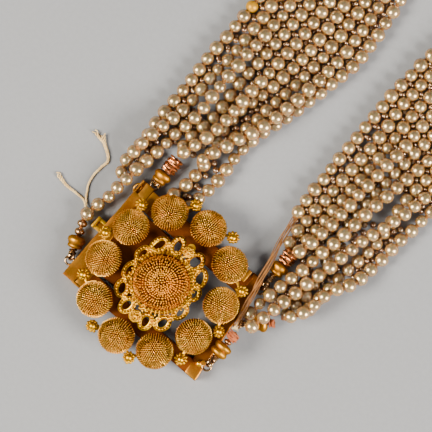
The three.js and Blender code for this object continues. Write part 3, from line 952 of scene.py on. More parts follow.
@dataclass(frozen=True, kw_only=True)
class OuterDome(PinDome):
    """One dome of the ring, which leans outwards, with the granule cluster at its side."""

    number: int  # its number round the ring
    centre: Pair  # where it stands
    cluster: Pair  # where its cluster stands
    radius: float = 3.58
    crown: float = 2.7
    rim: float = 0.5
    base: float = 4.5
    stem: float = 1.1
    stem_foot: float = 3.3
    under: Pair = (0.8, 0.6)
    plate: Pair = (0.35, 0.22)
    wire: Pair = (0.4, 0.08)
    steps: int = 5
    tilt: float = 20.0  # how far it leans, in degrees
    arm: float = 0.3  # the radius of the arm that carries the cluster
    # each ring of the cluster: its grains, its radius, its height and a grain's radius
    rings: tuple[tuple[int, float, float, float], ...] = (
        (10, 0.78, 5.15, 0.26), (10, 0.98, 4.78, 0.29), (7, 0.7, 4.4, 0.28),
    )

    def pins(self) -> PinField:
        """Chooses the dome's pins.

        Returns:
            Their sizes and rows.
        """
        return PinField(
            self.radius, self.crown, length=0.9, thick=0.145, ranks=((94, 72, 3, 46), (63, 55, 2, 41)),
            pitch=(0.42, 0.47), twist=0.4, ragged=0.15,
        )

    def form(self) -> Form:
        """The whole dome.

        Returns:
            The dome with its pins, rim wire, stem, arm and cluster.
        """
        generator = np.random.default_rng(100 + self.number)
        outward = np.array([*self.centre, 0.0])
        outward /= np.linalg.norm(outward)
        lean = math.radians(self.tilt)
        axis = outward * math.sin(lean) + np.array([0, 0, 1]) * math.cos(lean)
        turn = facing(axis, generator.uniform(0, 0.3))
        foot, head = (*self.centre, self.base), self.base + self.rim
        pins = self.pins().form(generator).moved(shift=(0, 0, self.rim)).moved(turn, foot)
        # The plain dome under the pins and the stem take the dark recess gold: painted shade among and under
        # the pins.
        body = turned([(0.0, 0.0), *self.outline(0.0)], 36).dulled(0).moved(turn, foot)
        wire = self.rim_wire(0.0, 56).moved(turn, foot)
        stem = peg(self.stem, self.stem_foot, head, 16).moved(shift=(*self.centre, 0))
        # The cluster's arm, under the dome, is darkened: painted shade.
        arm = rod([(*self.cluster, self.base), (*self.centre, head)], self.arm, 8).dulled(0.35)
        return joined(
            [
                pins,
                body.finished(Finish.RECESS_GOLD),
                wire,
                stem.finished(Finish.RECESS_GOLD),
                arm.finished(Finish.LEMON_GOLD),
                self.grains(generator).finished(Finish.LEMON_GOLD),
            ]
        )

    def grains(self, generator: Random) -> Form:
        """The cluster: a large grain on a ring of small ones, with more below.

        Args:
            generator: The source of its unevenness.

        Returns:
            The grains.
        """
        places, radii = [], []
        for count, reach, height, size in self.rings:
            start = generator.uniform(0, 360)
            for grain in range(count):
                angle = math.radians(start + grain * 360 / count)
                near = reach * generator.uniform(0.88, 1.06)
                places.append((near * math.cos(angle), near * math.sin(angle), height))
                radii.append(size * generator.uniform(0.85, 1.1))
        large = granules(np.array([(0, 0, 5.5)]), 0.7, 16, 10)
        grains = joined([large, granules(np.array(places), np.array(radii), 12, 8)])
        grains.bare = grains.bare * 0.65
        return grains.moved(shift=(*self.cluster, 0))

    def make(self) -> Pieces:
        """Puts the dome on the bench."""
        return [bench(f"pin_dome_{self.number}", self.form(), Finish.PIN_GOLD, (f"dome_{self.number}",))]


@dataclass(frozen=True, kw_only=True)
class MiddleDome(PinDome):
    """The large dome in the middle."""

    radius: float = 5.3
    crown: float = 2.6
    rim: float = 0.6
    base: float = 6.3
    stem: float = 3.0
    stem_foot: float = 5.3
    under: Pair = (0.88, 0.7)
    plate: Pair = (0.3, 0.15)
    wire: Pair = (0.16, 0.09)
    steps: int = 6
    ranks: tuple[tuple[float, float, int, int], ...] = (  # the pins' rows, as a pin field has them
        (95, 65, 5, 56), (58, 35, 4, 48), (29, 20, 3, 33),
        (15.5, 15.5, 1, 20), (11, 11, 1, 13), (6.5, 6.5, 1, 7),
    )

    def form(self) -> Form:
        """The whole dome.

        Returns:
            The dome with its pins, rim wire and stem.
        """
        pins = PinField(
            self.radius, self.crown, length=1.15, thick=0.175, ranks=self.ranks,
            pitch=(0.5, 0.5), twist=1.1, ragged=0.5, uneven=0.55, worn=0.75,
        )
        foot = [(0.0, self.stem_foot), (self.stem, self.stem_foot), (self.stem, self.base)]
        # The plain dome under the pins and its rim wire are painted dark: painted shade among the pins.
        body = turned([*foot, *self.outline(self.base)], 48).dulled(0)
        cover = pins.form(np.random.default_rng(7)).moved(shift=(0, 0, self.base + self.rim))
        wire = self.rim_wire(self.base, 72)
        return joined([cover, joined([body, wire]).finished(Finish.RECESS_GOLD)])

    def make(self) -> Pieces:
        """Puts the dome on the bench."""
        return [bench("pin_dome_middle", self.form(), Finish.ORANGE_PIN_GOLD, ("dome_middle",))]


@dataclass(frozen=True)
class Loop:
    """One loop of the collar."""

    x: float  # its centre across the clasp
    y: float  # its centre along the clasp
    long: float  # half of its length
    short: float  # half of its width
    turn: float  # the direction of its length, in degrees

    def line(self, count: int, grow: float = 0.0) -> np.ndarray:
        """The loop's closed middle line.

        Args:
            count: How many points it has.
            grow: How far outside the middle line it runs.

        Returns:
            The points across and along the clasp.
        """
        angles = angles_round(count)
        out, side = (self.long + grow) * np.cos(angles), (self.short + grow) * np.sin(angles)
        turn = math.radians(self.turn)
        x = self.x + out * math.cos(turn) - side * math.sin(turn)
        y = self.y + out * math.sin(turn) + side * math.cos(turn)
        return np.stack([x, y], 1)


@dataclass(frozen=True)
class Collar:
    """The pierced collar: granulated loops, a granulated band and two knobs round the middle dome."""

    loops: tuple[Loop, ...] = (  # its loops, in order round it
        Loop(2.2, 6.9, 1.65, 1.25, 78),
        Loop(4.85, 5.0, 1.8, 1.1, 110),
        Loop(5.85, 2.3, 1.25, 0.95, 95),
        Loop(6.2, -1.85, 1.4, 0.9, 88),
        Loop(5.05, -5.6, 1.4, 1.05, 70),
        Loop(2.45, -7.4, 1.4, 1.05, 100),
        Loop(-2.1, -7.35, 1.45, 1.05, 80),
        Loop(-4.85, -5.55, 1.45, 1.05, 112),
        Loop(-6.0, -2.1, 1.45, 0.85, 92),
        Loop(-6.1, 1.75, 1.35, 0.9, 85),
        Loop(-4.85, 4.95, 1.65, 1.0, 70),
        Loop(-2.1, 7.0, 1.6, 1.05, 108),
    )
    reach_x: float = 7.55  # half of its width
    reach_y: float = 9.15  # half of its length
    base: float = 5.2  # the height of its underside
    thickness: float = 0.75  # its thickness
    droop: float = 1.1  # how far its edge falls away
    wire: float = 0.11  # the radius of the wires at a band's edges
    half_band: float = 0.31  # half of a band's width
    grain: float = 0.25  # the usual radius of a band's grains
    pitch: float = 0.58  # the distance between them
    inner: float = 5.5  # the radius of the round band
    spokes: int = 48  # how many short spokes there are
    # the place across and along the clasp and the radius of each knob
    knobs: tuple[Triple, ...] = ((0.1, 7.45, 1.1), (0.4, -7.85, 1.2))
    knob_grains: int = 40  # how many grains cover a knob
    tuft_grains: int = 12  # how many grains are in a knob's tuft
    posts: tuple[Pair, ...] = ((0.0, 8.3), (0.0, -8.2), (-5.2, 0.0))  # where its posts stand
    post: float = 0.8  # a post's radius
    post_foot: float = 3.3  # the height of the posts' feet

    def laid(self, flat: np.ndarray, lift: float = 0.0) -> np.ndarray:
        """Lays points on the collar's surface, which falls away at its edge.

        Args:
            flat: The points across and along the clasp.
            lift: How far above the middle of the sheet they lie.

        Returns:
            The points with their heights.
        """
        reach = np.hypot(flat[:, 0] / self.reach_x, flat[:, 1] / self.reach_y)
        height = self.base + self.thickness / 2 - self.droop * np.maximum(0, reach - 0.6) / 0.4
        return np.column_stack([flat, height + lift])

    def band(self, lines: Sequence[np.ndarray], generator: Random) -> list[Form]:
        """A closed granulated band: a flat strip with a wire at each edge and a row of grains.

        Args:
            lines: The inner edge, the middle and the outer edge, laid on the surface.
            generator: Where the grains' small unevenness comes from.

        Returns:
            The band's forms.
        """
        inner, middle, outer = lines
        # The strip under the grains is painted dark: painted shade between the grains.
        strip = rod(middle - (0, 0, 0.12), self.half_band * 0.55, 8, closed=True, flat=1.9).dulled(0.1)
        edges = [rod(line, self.wire, 6, closed=True) for line in (inner, outer)]
        around = np.vstack([middle, middle[:1]])
        count = round(length_of(around) / self.pitch)
        places = spaced(around, (np.arange(count) + generator.uniform(0, 0.5)) * length_of(around) / count)
        sizes = self.grain * generator.uniform(0.85, 1.25, count)
        return [strip, *edges, granules(places + (0, 0, 0.16), sizes)]

    def loop(self, loop: Loop, generator: Random) -> list[Form]:
        """One loop's granulated band, which is lowest at its outer edge."""
        edges = ((-self.half_band, 0.1), (0.0, 0.15), (self.half_band, 0.0))
        return self.band([self.laid(loop.line(56, grow), lift) for grow, lift in edges], generator)

    def junctions(self, generator: Random) -> Form:
        """A large grain with small ones round it, where two loops meet beside the knobs' line.

        Args:
            generator: The source of its unevenness.

        Returns:
            The grains.
        """
        spots, sizes = [], []
        for one, two in zip(self.loops, self.loops[1:] + self.loops[:1]):
            middle = np.array([(one.x + two.x) / 2, (one.y + two.y) / 2])
            if abs(middle[0]) < 1:
                continue
            centre = self.laid(middle[None], 0.5)[0]
            spots.append(centre)
            sizes.append(0.38)
            for around in np.arange(6) * math.pi / 3 + generator.uniform(0, 1):
                spots.append(centre + (0.5 * math.cos(around), 0.5 * math.sin(around), -0.12))
                sizes.append(generator.uniform(0.19, 0.25))
        return granules(np.array(spots), np.array(sizes), 10, 7)

    def rays(self, generator: Random) -> list[Form]:
        """Short spokes with a grain at each end, between the middle dome and the loops.

        Args:
            generator: Where their small unevenness comes from.

        Returns:
            The spokes and the grains.
        """
        angles = (np.arange(self.spokes) + generator.uniform(-0.2, 0.2, self.spokes)) * TAU / self.spokes
        ways = np.stack([np.cos(angles), np.sin(angles)], 1)
        reach = self.inner + generator.uniform(0.35, 0.75, self.spokes)
        inner, outer = self.laid(ways * (self.inner - 0.9), 0.75), self.laid(ways * reach[:, None], 0.35)
        spokes = [rod([start, end], 0.11, 5) for start, end in zip(inner, outer)]
        return [*spokes, granules(outer, generator.uniform(0.17, 0.25, self.spokes))]

    def knob(self, place: Triple, generator: Random) -> Form:
        """A ball covered with grains, with a small tuft towards the middle dome.

        Args:
            place: Its place across and along the clasp and its radius.
            generator: The source of its unevenness.

        Returns:
            The knob.
        """
        x, y, radius = place
        centre = np.array([x, y, self.base + 0.35])
        # The core under the knob's grains is darkened: painted shade between the grains.
        core = ball(16, 10).moved(np.eye(3) * (radius - 0.2), centre).dulled(0.15)
        count = self.knob_grains
        index = np.arange(count) + 0.5
        ways = ways_out(np.arccos(1 - 1.3 * index / count), index * math.pi * (3 - math.sqrt(5)))
        crown = granules(centre + ways * (radius - 0.18), generator.uniform(0.17, 0.27, count))
        top = granules(centre[None] + (0, 0, radius - 0.1), 0.36, 14, 9)
        count = self.tuft_grains
        spots = generator.normal(0, 0.33, (count, 3)) * (1.4, 1, 0.5) + (x, y * 0.76, self.base + 0.9)
        return joined([core, crown, top, granules(spots, generator.uniform(0.18, 0.3, count))])

    def form(self) -> Form:
        """The whole collar.

        Returns:
            The loops, the round band, the spokes, the grains, the knobs and the posts.
        """
        generator = np.random.default_rng(31)
        forms = [form for loop in self.loops for form in self.loop(loop, generator)]
        radii = [self.inner + grow for grow in (-self.half_band, 0, self.half_band)]
        lines = [self.laid(Loop(0, 0, radius, radius, 90).line(160)) for radius in radii]
        # The round band lies under the middle dome's rim and is darkened all over: painted shade.
        forms += [form.dulled(0.4) for form in self.band(lines, generator)]
        forms += self.rays(generator)
        forms.append(self.junctions(generator))
        forms += [self.knob(knob, generator) for knob in self.knobs]
        post = peg(self.post, self.post_foot, self.base, 14)
        return joined(forms + [post.moved(shift=(x, y, 0)) for x, y in self.posts])

    def make(self) -> Pieces:
        """Puts the collar on the bench."""
        return [bench("filigree_collar", self.form(), Finish.LEMON_GOLD, ("collar",))]


# The clasp's two halves


@dataclass(frozen=True)
class ClaspHalves:
    """The bars, the box and the arms under the rosette."""

    top: float = 3.0  # the height of the bars' and the arms' tops
    edge: float = 0.28  # the radius of their rounded edges
    cell: float = 0.55  # about how large the bars' faces are
    seat: float = 2.6  # the radius of a dome's seat
    eye: float = 0.8  # the radius of a wire eye
    eye_wire: float = 0.22  # the radius of its wire
    bright_end: float = -10.7  # left of this place the arms' ends come out from under the rosette and leave its painted shade for the bars' gold

    def dented(self, form: Form, depth: float, seed: float) -> Form:
        """Gives a form the slow unevenness of old sheet gold.

        Args:
            form: The form.
            depth: How deep it is.
            seed: Which unevenness.

        Returns:
            The uneven form, its hollows duller.
        """
        lift = swell(form.points, 4.2, seed)
        inward = np.clip(form.points[:, 2] / self.top, 0, 1)
        points = form.points.copy()
        points[:, 2] += depth * (lift - 0.6) * inward
        points[:, 0] += depth * 0.5 * swell(form.points, 3.1, seed + 1)
        return replace(form, points=points, bare=np.clip(0.8 + 0.3 * lift, 0.3, 1))

    def eyes(self, *places: Triple) -> list[Form]:
        """Wire eyes at a bar's edge."""
        eye = ring(self.eye, self.eye_wire, 10, 32).finished(Finish.DARK_METAL)
        return [eye.moved(shift=place) for place in places]

    def box_half(self) -> Form:
        """The left bar with its eyes, staple and spring loop, and the flat box.

        Returns:
            The half.
        """
        top = self.top
        blocks = (
            ((-14.9, -10.8, 0.0), (-12.25, 9.4, top)),
            ((-15.0, 9.1, 0.0), (-14.65, 12.0, top)),
            ((-14.05, 9.1, 0.0), (-12.2, 12.05, top)),
            ((-14.8, 9.1, 0.0), (-13.9, 12.0, top - 1.0)),
            ((-12.7, -10.9, 0.0), (-10.8, -10.45, top)),
        )
        bar = joined(self.dented(slab(low, high, 0.1, self.cell), 0.16, 1.0) for low, high in blocks)
        # The box lies under the rosette and is darkened: painted shade on tarnished gold.
        box = slab((-12.9, -6.4, 0.0), (-2.6, 7.3, top - 0.05), self.edge, 0.9).dulled(0.5)
        core = slab((-16.3, -0.2, 0.9), (-14.7, 1.2, 2.35), 0.1, 0.5).dulled(0.45)
        prongs = ((-0.7, 0.1), (0.9, 1.6))
        prongs = [slab((-16.2, low, 0.9), (-14.6, high, 2.5), 0.15, 0.4) for low, high in prongs]
        staple = joined([*prongs, slab((-16.75, -0.75, 0.8), (-16.1, 1.65, 3.0), 0.18, 0.4)])
        loop = ring(0.85, 0.17, 10, 28).moved(facing((1.0, 0.0, 0.9))).moved(shift=(-14.8, 10.2, top - 0.5))
        forms = [bar, box.finished(Finish.BOX_GOLD), core, staple.finished(Finish.LEMON_GOLD)]
        forms.append(loop.finished(Finish.SATIN_GOLD))
        return joined(forms + self.eyes((-12.75, 12.5, 1.75), (-15.5, -8.1, 1.75)))

    def tongue_half(self, seats: Sequence[Pair]) -> Form:
        """The leaning right bar with its eyes, its two arms and the domes' seats.

        Args:
            seats: Where the domes that it carries stand.

        Returns:
            The half.
        """
        top = self.top
        width, length = 2.5, 22.3
        unit = slab((0.0, 0.0, 0.0), (width, length, top), self.edge, self.cell)
        unit.points[:, :2] /= (width, length)
        bar = self.dented(leaned(unit, ((13.9, -9.8), (16.6, -9.8), (13.9, 12.5), (11.6, 12.5))), 0.16, 2.0)
        # The leaning bar is painted dark above its lower end: painted shadow under the threads and the domes.
        bar.bare = np.clip(0.2 - (bar.points[:, 1] + 5.5) * 0.35, 0.12, 1) * bar.bare
        arms = [
            slab((-12.14, 7.6, 0.0), (12.2, 11.6, top), 0.12, 0.8),
            slab((-12.14, -10.4, 0.0), (10.5, -6.9, top), 0.12, 0.8),
            slab((9.9, -9.8, 0.0), (14.3, -6.9, top), self.edge, 0.8),
        ]
        arms = [self.dented(arm, 0.12, 3.0) for arm in arms]
        # Under the rosette the arms take the box's dark gold and beyond it the bars' gold: painted shade
        # under the rosette.
        for arm in arms:
            bright = arm.points[arm.faces[:, 0], 0] < self.bright_end
            arm.finish = np.where(bright, Finish.BAR_GOLD, Finish.BOX_GOLD)
        bead = ball(16, 10).moved(np.eye(3) * 0.65, (15.0, -6.8, top + 0.4))
        bevel = [(self.seat, top - 0.15), (self.seat - 0.15, top)]
        seat = turned([(0.0, 0.0), (self.seat, 0.0), *bevel, (0.0, top)], 28)
        strip = slab((10.6, 9.9, top - 0.2), (11.4, 12.35, top + 0.5), 0.14, 0.4)
        post = turned([(0.0, 2.8), (0.45, 2.8), (0.45, 5.3), (0.0, 5.35)], 12).moved(shift=(15.5, -6.2, 0))
        forms = [bar, *arms, bead.finished(Finish.LEMON_GOLD)]
        # The domes' seats take the box's dark gold: painted shade under the domes.
        forms += [seat.moved(shift=(*place, 0)).finished(Finish.BOX_GOLD) for place in seats]
        forms += [strip.finished(Finish.SATIN_GOLD), post]
        return joined(forms + self.eyes((14.7, 10.9, 1.75), (15.6, 3.4, 1.75), (16.4, -6.2, 5.1)))

    def make(self, seats: Sequence[Pair]) -> Pieces:
        """Puts both halves on the bench.

        Args:
            seats: Where the domes that the tongue half carries stand.

        Returns:
            The two pieces.
        """
        box, tongue = self.box_half(), self.tongue_half(seats)
        return [
            bench("box_half_of_clasp", box, Finish.BAR_GOLD, ("clasp_box_half",)),
            bench("tongue_half_of_clasp", tongue, Finish.BAR_GOLD, ("clasp_tongue_half",)),
        ]


@dataclass(frozen=True)
class Rosette:
    """The domes, the collar and the clasp's halves that carry them."""

    # the right half of the ring, from its upper end: where each dome and its cluster stand
    half: tuple[tuple[float, float, float, float], ...] = (
        (0.0, 13.0, 4.5, 14.8),
        (7.2, 10.5, 12.15, 8.4),
        (10.8, 3.9, 13.9, 0.1),
        (10.8, -3.6, 11.9, -8.4),
        (7.2, -10.3, 4.5, -14.4),
        (0.1, -12.7, -4.4, -14.4),
    )
    box_right: float = -2.6  # the right edge of the box; the domes beyond the box stand on the tongue half
    box_top: float = 7.3  # the upper edge of the box
    box_bottom: float = -6.4  # the lower edge of the box

    def domes(self) -> list[OuterDome]:
        """All domes of the ring.

        Returns:
            The right half of the ring and its mirrored left half.
        """
        rows = list(self.half)
        for index in range(len(self.half) - 2, 0, -1):
            dome, before = self.half[index], self.half[index - 1]
            rows.append((-dome[0], dome[1], -before[2], before[3]))
        ring = enumerate(rows, 1)
        return [OuterDome(number=number, centre=row[:2], cluster=row[2:]) for number, row in ring]

    def make(self) -> Pieces:
        """Puts the domes, the middle dome, the collar and the clasp's halves on the bench.

        Returns:
            The pieces.
        """
        domes = self.domes()
        pieces = [piece for dome in domes for piece in dome.make()]
        pieces += MiddleDome().make() + Collar().make()
        places = [dome.centre for dome in domes]
        seats = [(x, y) for x, y in places if x > self.box_right or y > self.box_top or y < self.box_bottom]
        return pieces + ClaspHalves().make(seats)


# Terminals


class Bead(Enum):
    """The beads of the terminals: length, radius at the ends and radius in the middle."""

    RONDELLE = (2.4, 1.05, 1.7)
    DOUBLE_RONDELLE = (2.7, 1.1, 1.75)
    BULLION = (3.2, 1.35, 1.5)
    SHORT_BULLION = (1.7, 1.05, 1.15)
    SMALL_BEAD = (1.5, 0.7, 0.95)
    DISC = (0.9, 0.6, 0.8)
    BIT = (1.2, 0.7, 0.85)


@dataclass(frozen=True)
class Terminal:
    """A gathered end of three strands: a link, a bound neck and its beads."""

    name: str  # the solid that it stands for
    eye: Triple  # the eye that its link passes through
    angle: float  # the direction that it leaves in, in degrees
    neck: float  # the length of the bound neck
    beads: tuple[tuple[Bead, Finish], ...]  # its beads and their finishes
    bound: Finish = Finish.SILK  # what the neck is bound with
    start: float = 0.0  # how far its beads are pushed up from the link, in millimetres
    wound: float = 0.6  # half the width of the dark wire wound round the link
    winding_reach: Pair = (0.52, 0.14)  # its radius at its ends, and how much more it has in the middle
    winding_wire: float = 0.15  # the radius of that wire
    link_radius: float = 0.75  # the link's radius
    link_offset: float = 0.88  # how far the link's centre is from the eye
    wire: float = 0.22  # the radius of the link's wire
    bead_gap: float = 0.1  # the distance between its beads
    thread: float = 0.4  # the radius of the gathered threads
    core: float = 0.35  # their radius inside the beads
    per_turn: int = 12  # how many steps a turn of the bullion wire has
    rise: float = 0.31  # how far the bullion wire rises in a turn
    bullion_wire: float = 0.14  # the radius of the bullion wire

    def rondelle(self, bead: Bead) -> Form:
        """A polished lens-shaped bead, or two joined ones.

        Args:
            bead: Which bead.

        Returns:
            The bead, standing on the XY plane.
        """
        length, end, middle = bead.value
        first, small = (0.5, 0.96) if bead is Bead.DOUBLE_RONDELLE else (0.34, 0.82)
        profile = [(0.0, 0.0), (end * 0.8, 0.0)]
        for low, high, reach in ((0.0, first, middle * small), (first, 1.0, middle)):
            for share in np.linspace(0, 1, 9):
                waist = end + 0.25 * (share if low == 0 else 1 - share)
                bulge = math.sin(math.pi * share) ** 0.75
                height = 0.05 + (length - 0.1) * (low + (high - low) * share)
                profile.append((waist + (reach - waist) * bulge, height))
        profile += [(end * 0.8, length), (0.0, length)]
        form = turned(profile, 32)
        # The bead is darker towards its narrow ends, where it meets the beads beside it: painted shade.
        form.bare = np.clip((np.hypot(form.points[:, 0], form.points[:, 1]) / middle - 0.45) * 2.2, 0.05, 1)
        return form

    def bullion(self, bead: Bead) -> Form:
        """A bead of crumpled coiled wire.

        Args:
            bead: Which bead.

        Returns:
            The bead, standing on the XY plane.
        """
        length, end, middle = bead.value
        seed = len(self.name) if bead is Bead.BULLION else self.angle
        thick = self.bullion_wire
        share, coiled = wraps(int(length / self.rise), self.per_turn)
        coils = []
        for way, shrink in ((1, 0.0), (-1, 0.12)):
            angle = way * coiled + seed
            crush = 0.16 * np.sin(angle * 2.37 + seed) + 0.1 * np.sin(angle * 0.61 + seed * 2) - shrink
            radius = end + (middle - end) * np.sin(math.pi * share) - thick + crush
            height = thick + (length - 2 * thick) * share + 0.13 * np.sin(angle * 1.63 + seed)
            coil = rod(points_round(radius, angle, height), thick, 5)
            # Each coil is darker where the wire dips inwards: painted shade in the dips.
            coil.bare = np.clip(0.55 + 3.2 * np.append(np.repeat(crush + shrink, 5), [0, 0]), 0.05, 1)
            coils.append(coil)
        # The core inside the coils is painted dark: painted shade.
        return joined([*coils, peg(end - 0.35, 0.05, length - 0.05, 16).dulled(0)])

    def small_bead(self, bead: Bead) -> Form:
        """A plain round bead, standing on the XY plane."""
        length, _, middle = bead.value
        return ball(18, 12).moved(np.diag([middle, middle, length / 2]), (0, 0, length / 2))

    def binding(self, length: float) -> Form:
        """The neck: threads or wire wound tightly round the gathered threads.

        Args:
            length: How long it is.

        Returns:
            The neck, standing on the XY plane.
        """
        metal = self.bound is Finish.DARK_METAL
        pitch, thick = (0.36, 0.15) if metal else (0.22, 0.12)
        share, angle = wraps(max(2, int(length / pitch)), 12)
        reach = self.thread + (0.16 + 0.14 * np.sin(share * 17) if metal else -0.1)
        coil = rod(points_round(reach, angle, share * length), thick, 6)
        return joined([coil, peg(self.thread - 0.1, -0.1, length + 0.1, 10)])

    def winding(self) -> Form:
        """Dark wire wound across the link, round a heart painted near black as shade inside the link.

        Returns:
            The winding, round the middle of the link.
        """
        share, angle = wraps(max(3, round(self.wound * 4)), 14)
        wide = self.winding_reach[0] + self.winding_reach[1] * np.sin(share * math.pi)
        line = np.stack([wide * np.cos(angle), (2 * share - 1) * self.wound, 0.85 * wide * np.sin(angle)], 1)
        # The heart is painted near black: painted shade inside the link and its winding.
        heart = ball(12, 8).moved(np.diag([0.5, self.wound, 0.4])).dulled(0)
        return joined([rod(line, self.winding_wire, 6), heart])

    def form(self) -> Form:
        """The whole terminal in place.

        Returns:
            The neck, the beads on their core, the link and its winding.
        """
        makers = {
            Bead.RONDELLE: self.rondelle,
            Bead.DOUBLE_RONDELLE: self.rondelle,
            Bead.SMALL_BEAD: self.small_bead,
            Bead.DISC: self.small_bead,
        }
        along = facing((1.0, 0.0, 0.0))
        start = self.link_offset + self.link_radius - 0.1
        place = start + self.neck + self.start
        neck = self.binding(max(0.4, place - start)).moved(along, (min(start, place - 0.4), 0, 0))
        forms = [neck.finished(self.bound)]
        for bead, finish in self.beads:
            form = makers.get(bead, self.bullion)(bead)
            forms.append(form.moved(along, (place, 0, 0)).finished(finish))
            place += bead.value[0] + self.bead_gap
        core = rod([(start, 0, 0), (place - self.bead_gap, 0, 0)], self.core, 8)
        link = ring(self.link_radius, self.wire, 10, 32).moved(facing((0.0, 0.8, 0.6)))
        link = link.moved(shift=(self.link_offset, 0, 0))
        winding = self.winding().moved(shift=(self.link_offset + 0.1, 0, 0))
        forms += [core.finished(Finish.SILK), joined([link, winding]).finished(Finish.DARK_METAL)]
        return joined(forms).moved(round_z(self.angle), self.eye)

    def make(self) -> Pieces:
        """Puts the terminal on the bench."""
        return [bench(f"{self.name}_beads", self.form(), Finish.SATIN_GOLD, (self.name,))]


RONDELLE = (Bead.RONDELLE, Finish.SATIN_GOLD)
DOUBLE_RONDELLE = (Bead.DOUBLE_RONDELLE, Finish.SATIN_GOLD)
ROUND_BEAD = (Bead.SMALL_BEAD, Finish.BROWN_BEAD)
LONG_BEADS = (RONDELLE, (Bead.BULLION, Finish.COPPER_GOLD))
SHORT_BEADS = (DOUBLE_RONDELLE, (Bead.DISC, Finish.BROWN_BEAD), (Bead.SHORT_BULLION, Finish.ROSE_SILK))
WIRE_BOUND = Finish.DARK_METAL
TERMINALS = (
    Terminal("terminal_left_top", (-12.75, 12.5, 1.75), 90, 0.0, LONG_BEADS, start=-0.7, wound=1.25),
    Terminal(
        "terminal_left_bottom", (-15.5, -8.1, 1.75), 112, 1.1, (RONDELLE, ROUND_BEAD, ROUND_BEAD),
        WIRE_BOUND, start=-0.3,
    ),
    Terminal(
        "terminal_right_top", (14.7, 10.9, 1.75), 90, 2.4, LONG_BEADS, WIRE_BOUND, start=-0.1, wound=0.8
    ),
    Terminal(
        "terminal_right_middle", (15.6, 3.4, 1.75), 42, 1.6, (RONDELLE, (Bead.BIT, Finish.ROSE_SILK))
    ),
    Terminal("terminal_right_bottom", (16.4, -6.2, 5.1), 90, 1.1, SHORT_BEADS, WIRE_BOUND),
)


@dataclass(frozen=True)
class GatheredKnot:
    """The hidden left middle knot, wound with thread."""

    turns: int = 5  # how often the thread goes round it
    thread: float = 0.08  # the thread's radius

    def make(self) -> Pieces:
        """Puts the knot on the bench.

        Returns:
            The piece.
        """
        low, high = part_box("terminal_left_middle")
        centre = (np.array((low + high) / 2) - CLASP_CENTRE) / MM
        half = np.array((high - low) / 2) / MM
        share, angle = wraps(self.turns, 14)
        reach = half[0] * (0.9 - 0.35 * np.abs(share - 0.5))
        line = np.stack([reach * np.cos(angle), (share - 0.5) * 1.4 * half[1], reach * np.sin(angle)], 1)
        form = joined([ball(14, 10).moved(np.diag(half), centre), rod(line + centre, self.thread, 5)])
        return [bench("knot_left_middle", form, Finish.SILK, ("terminal_left_middle",))]


# Strands

LOW = 1.1  # the height of a strand that lies on the table

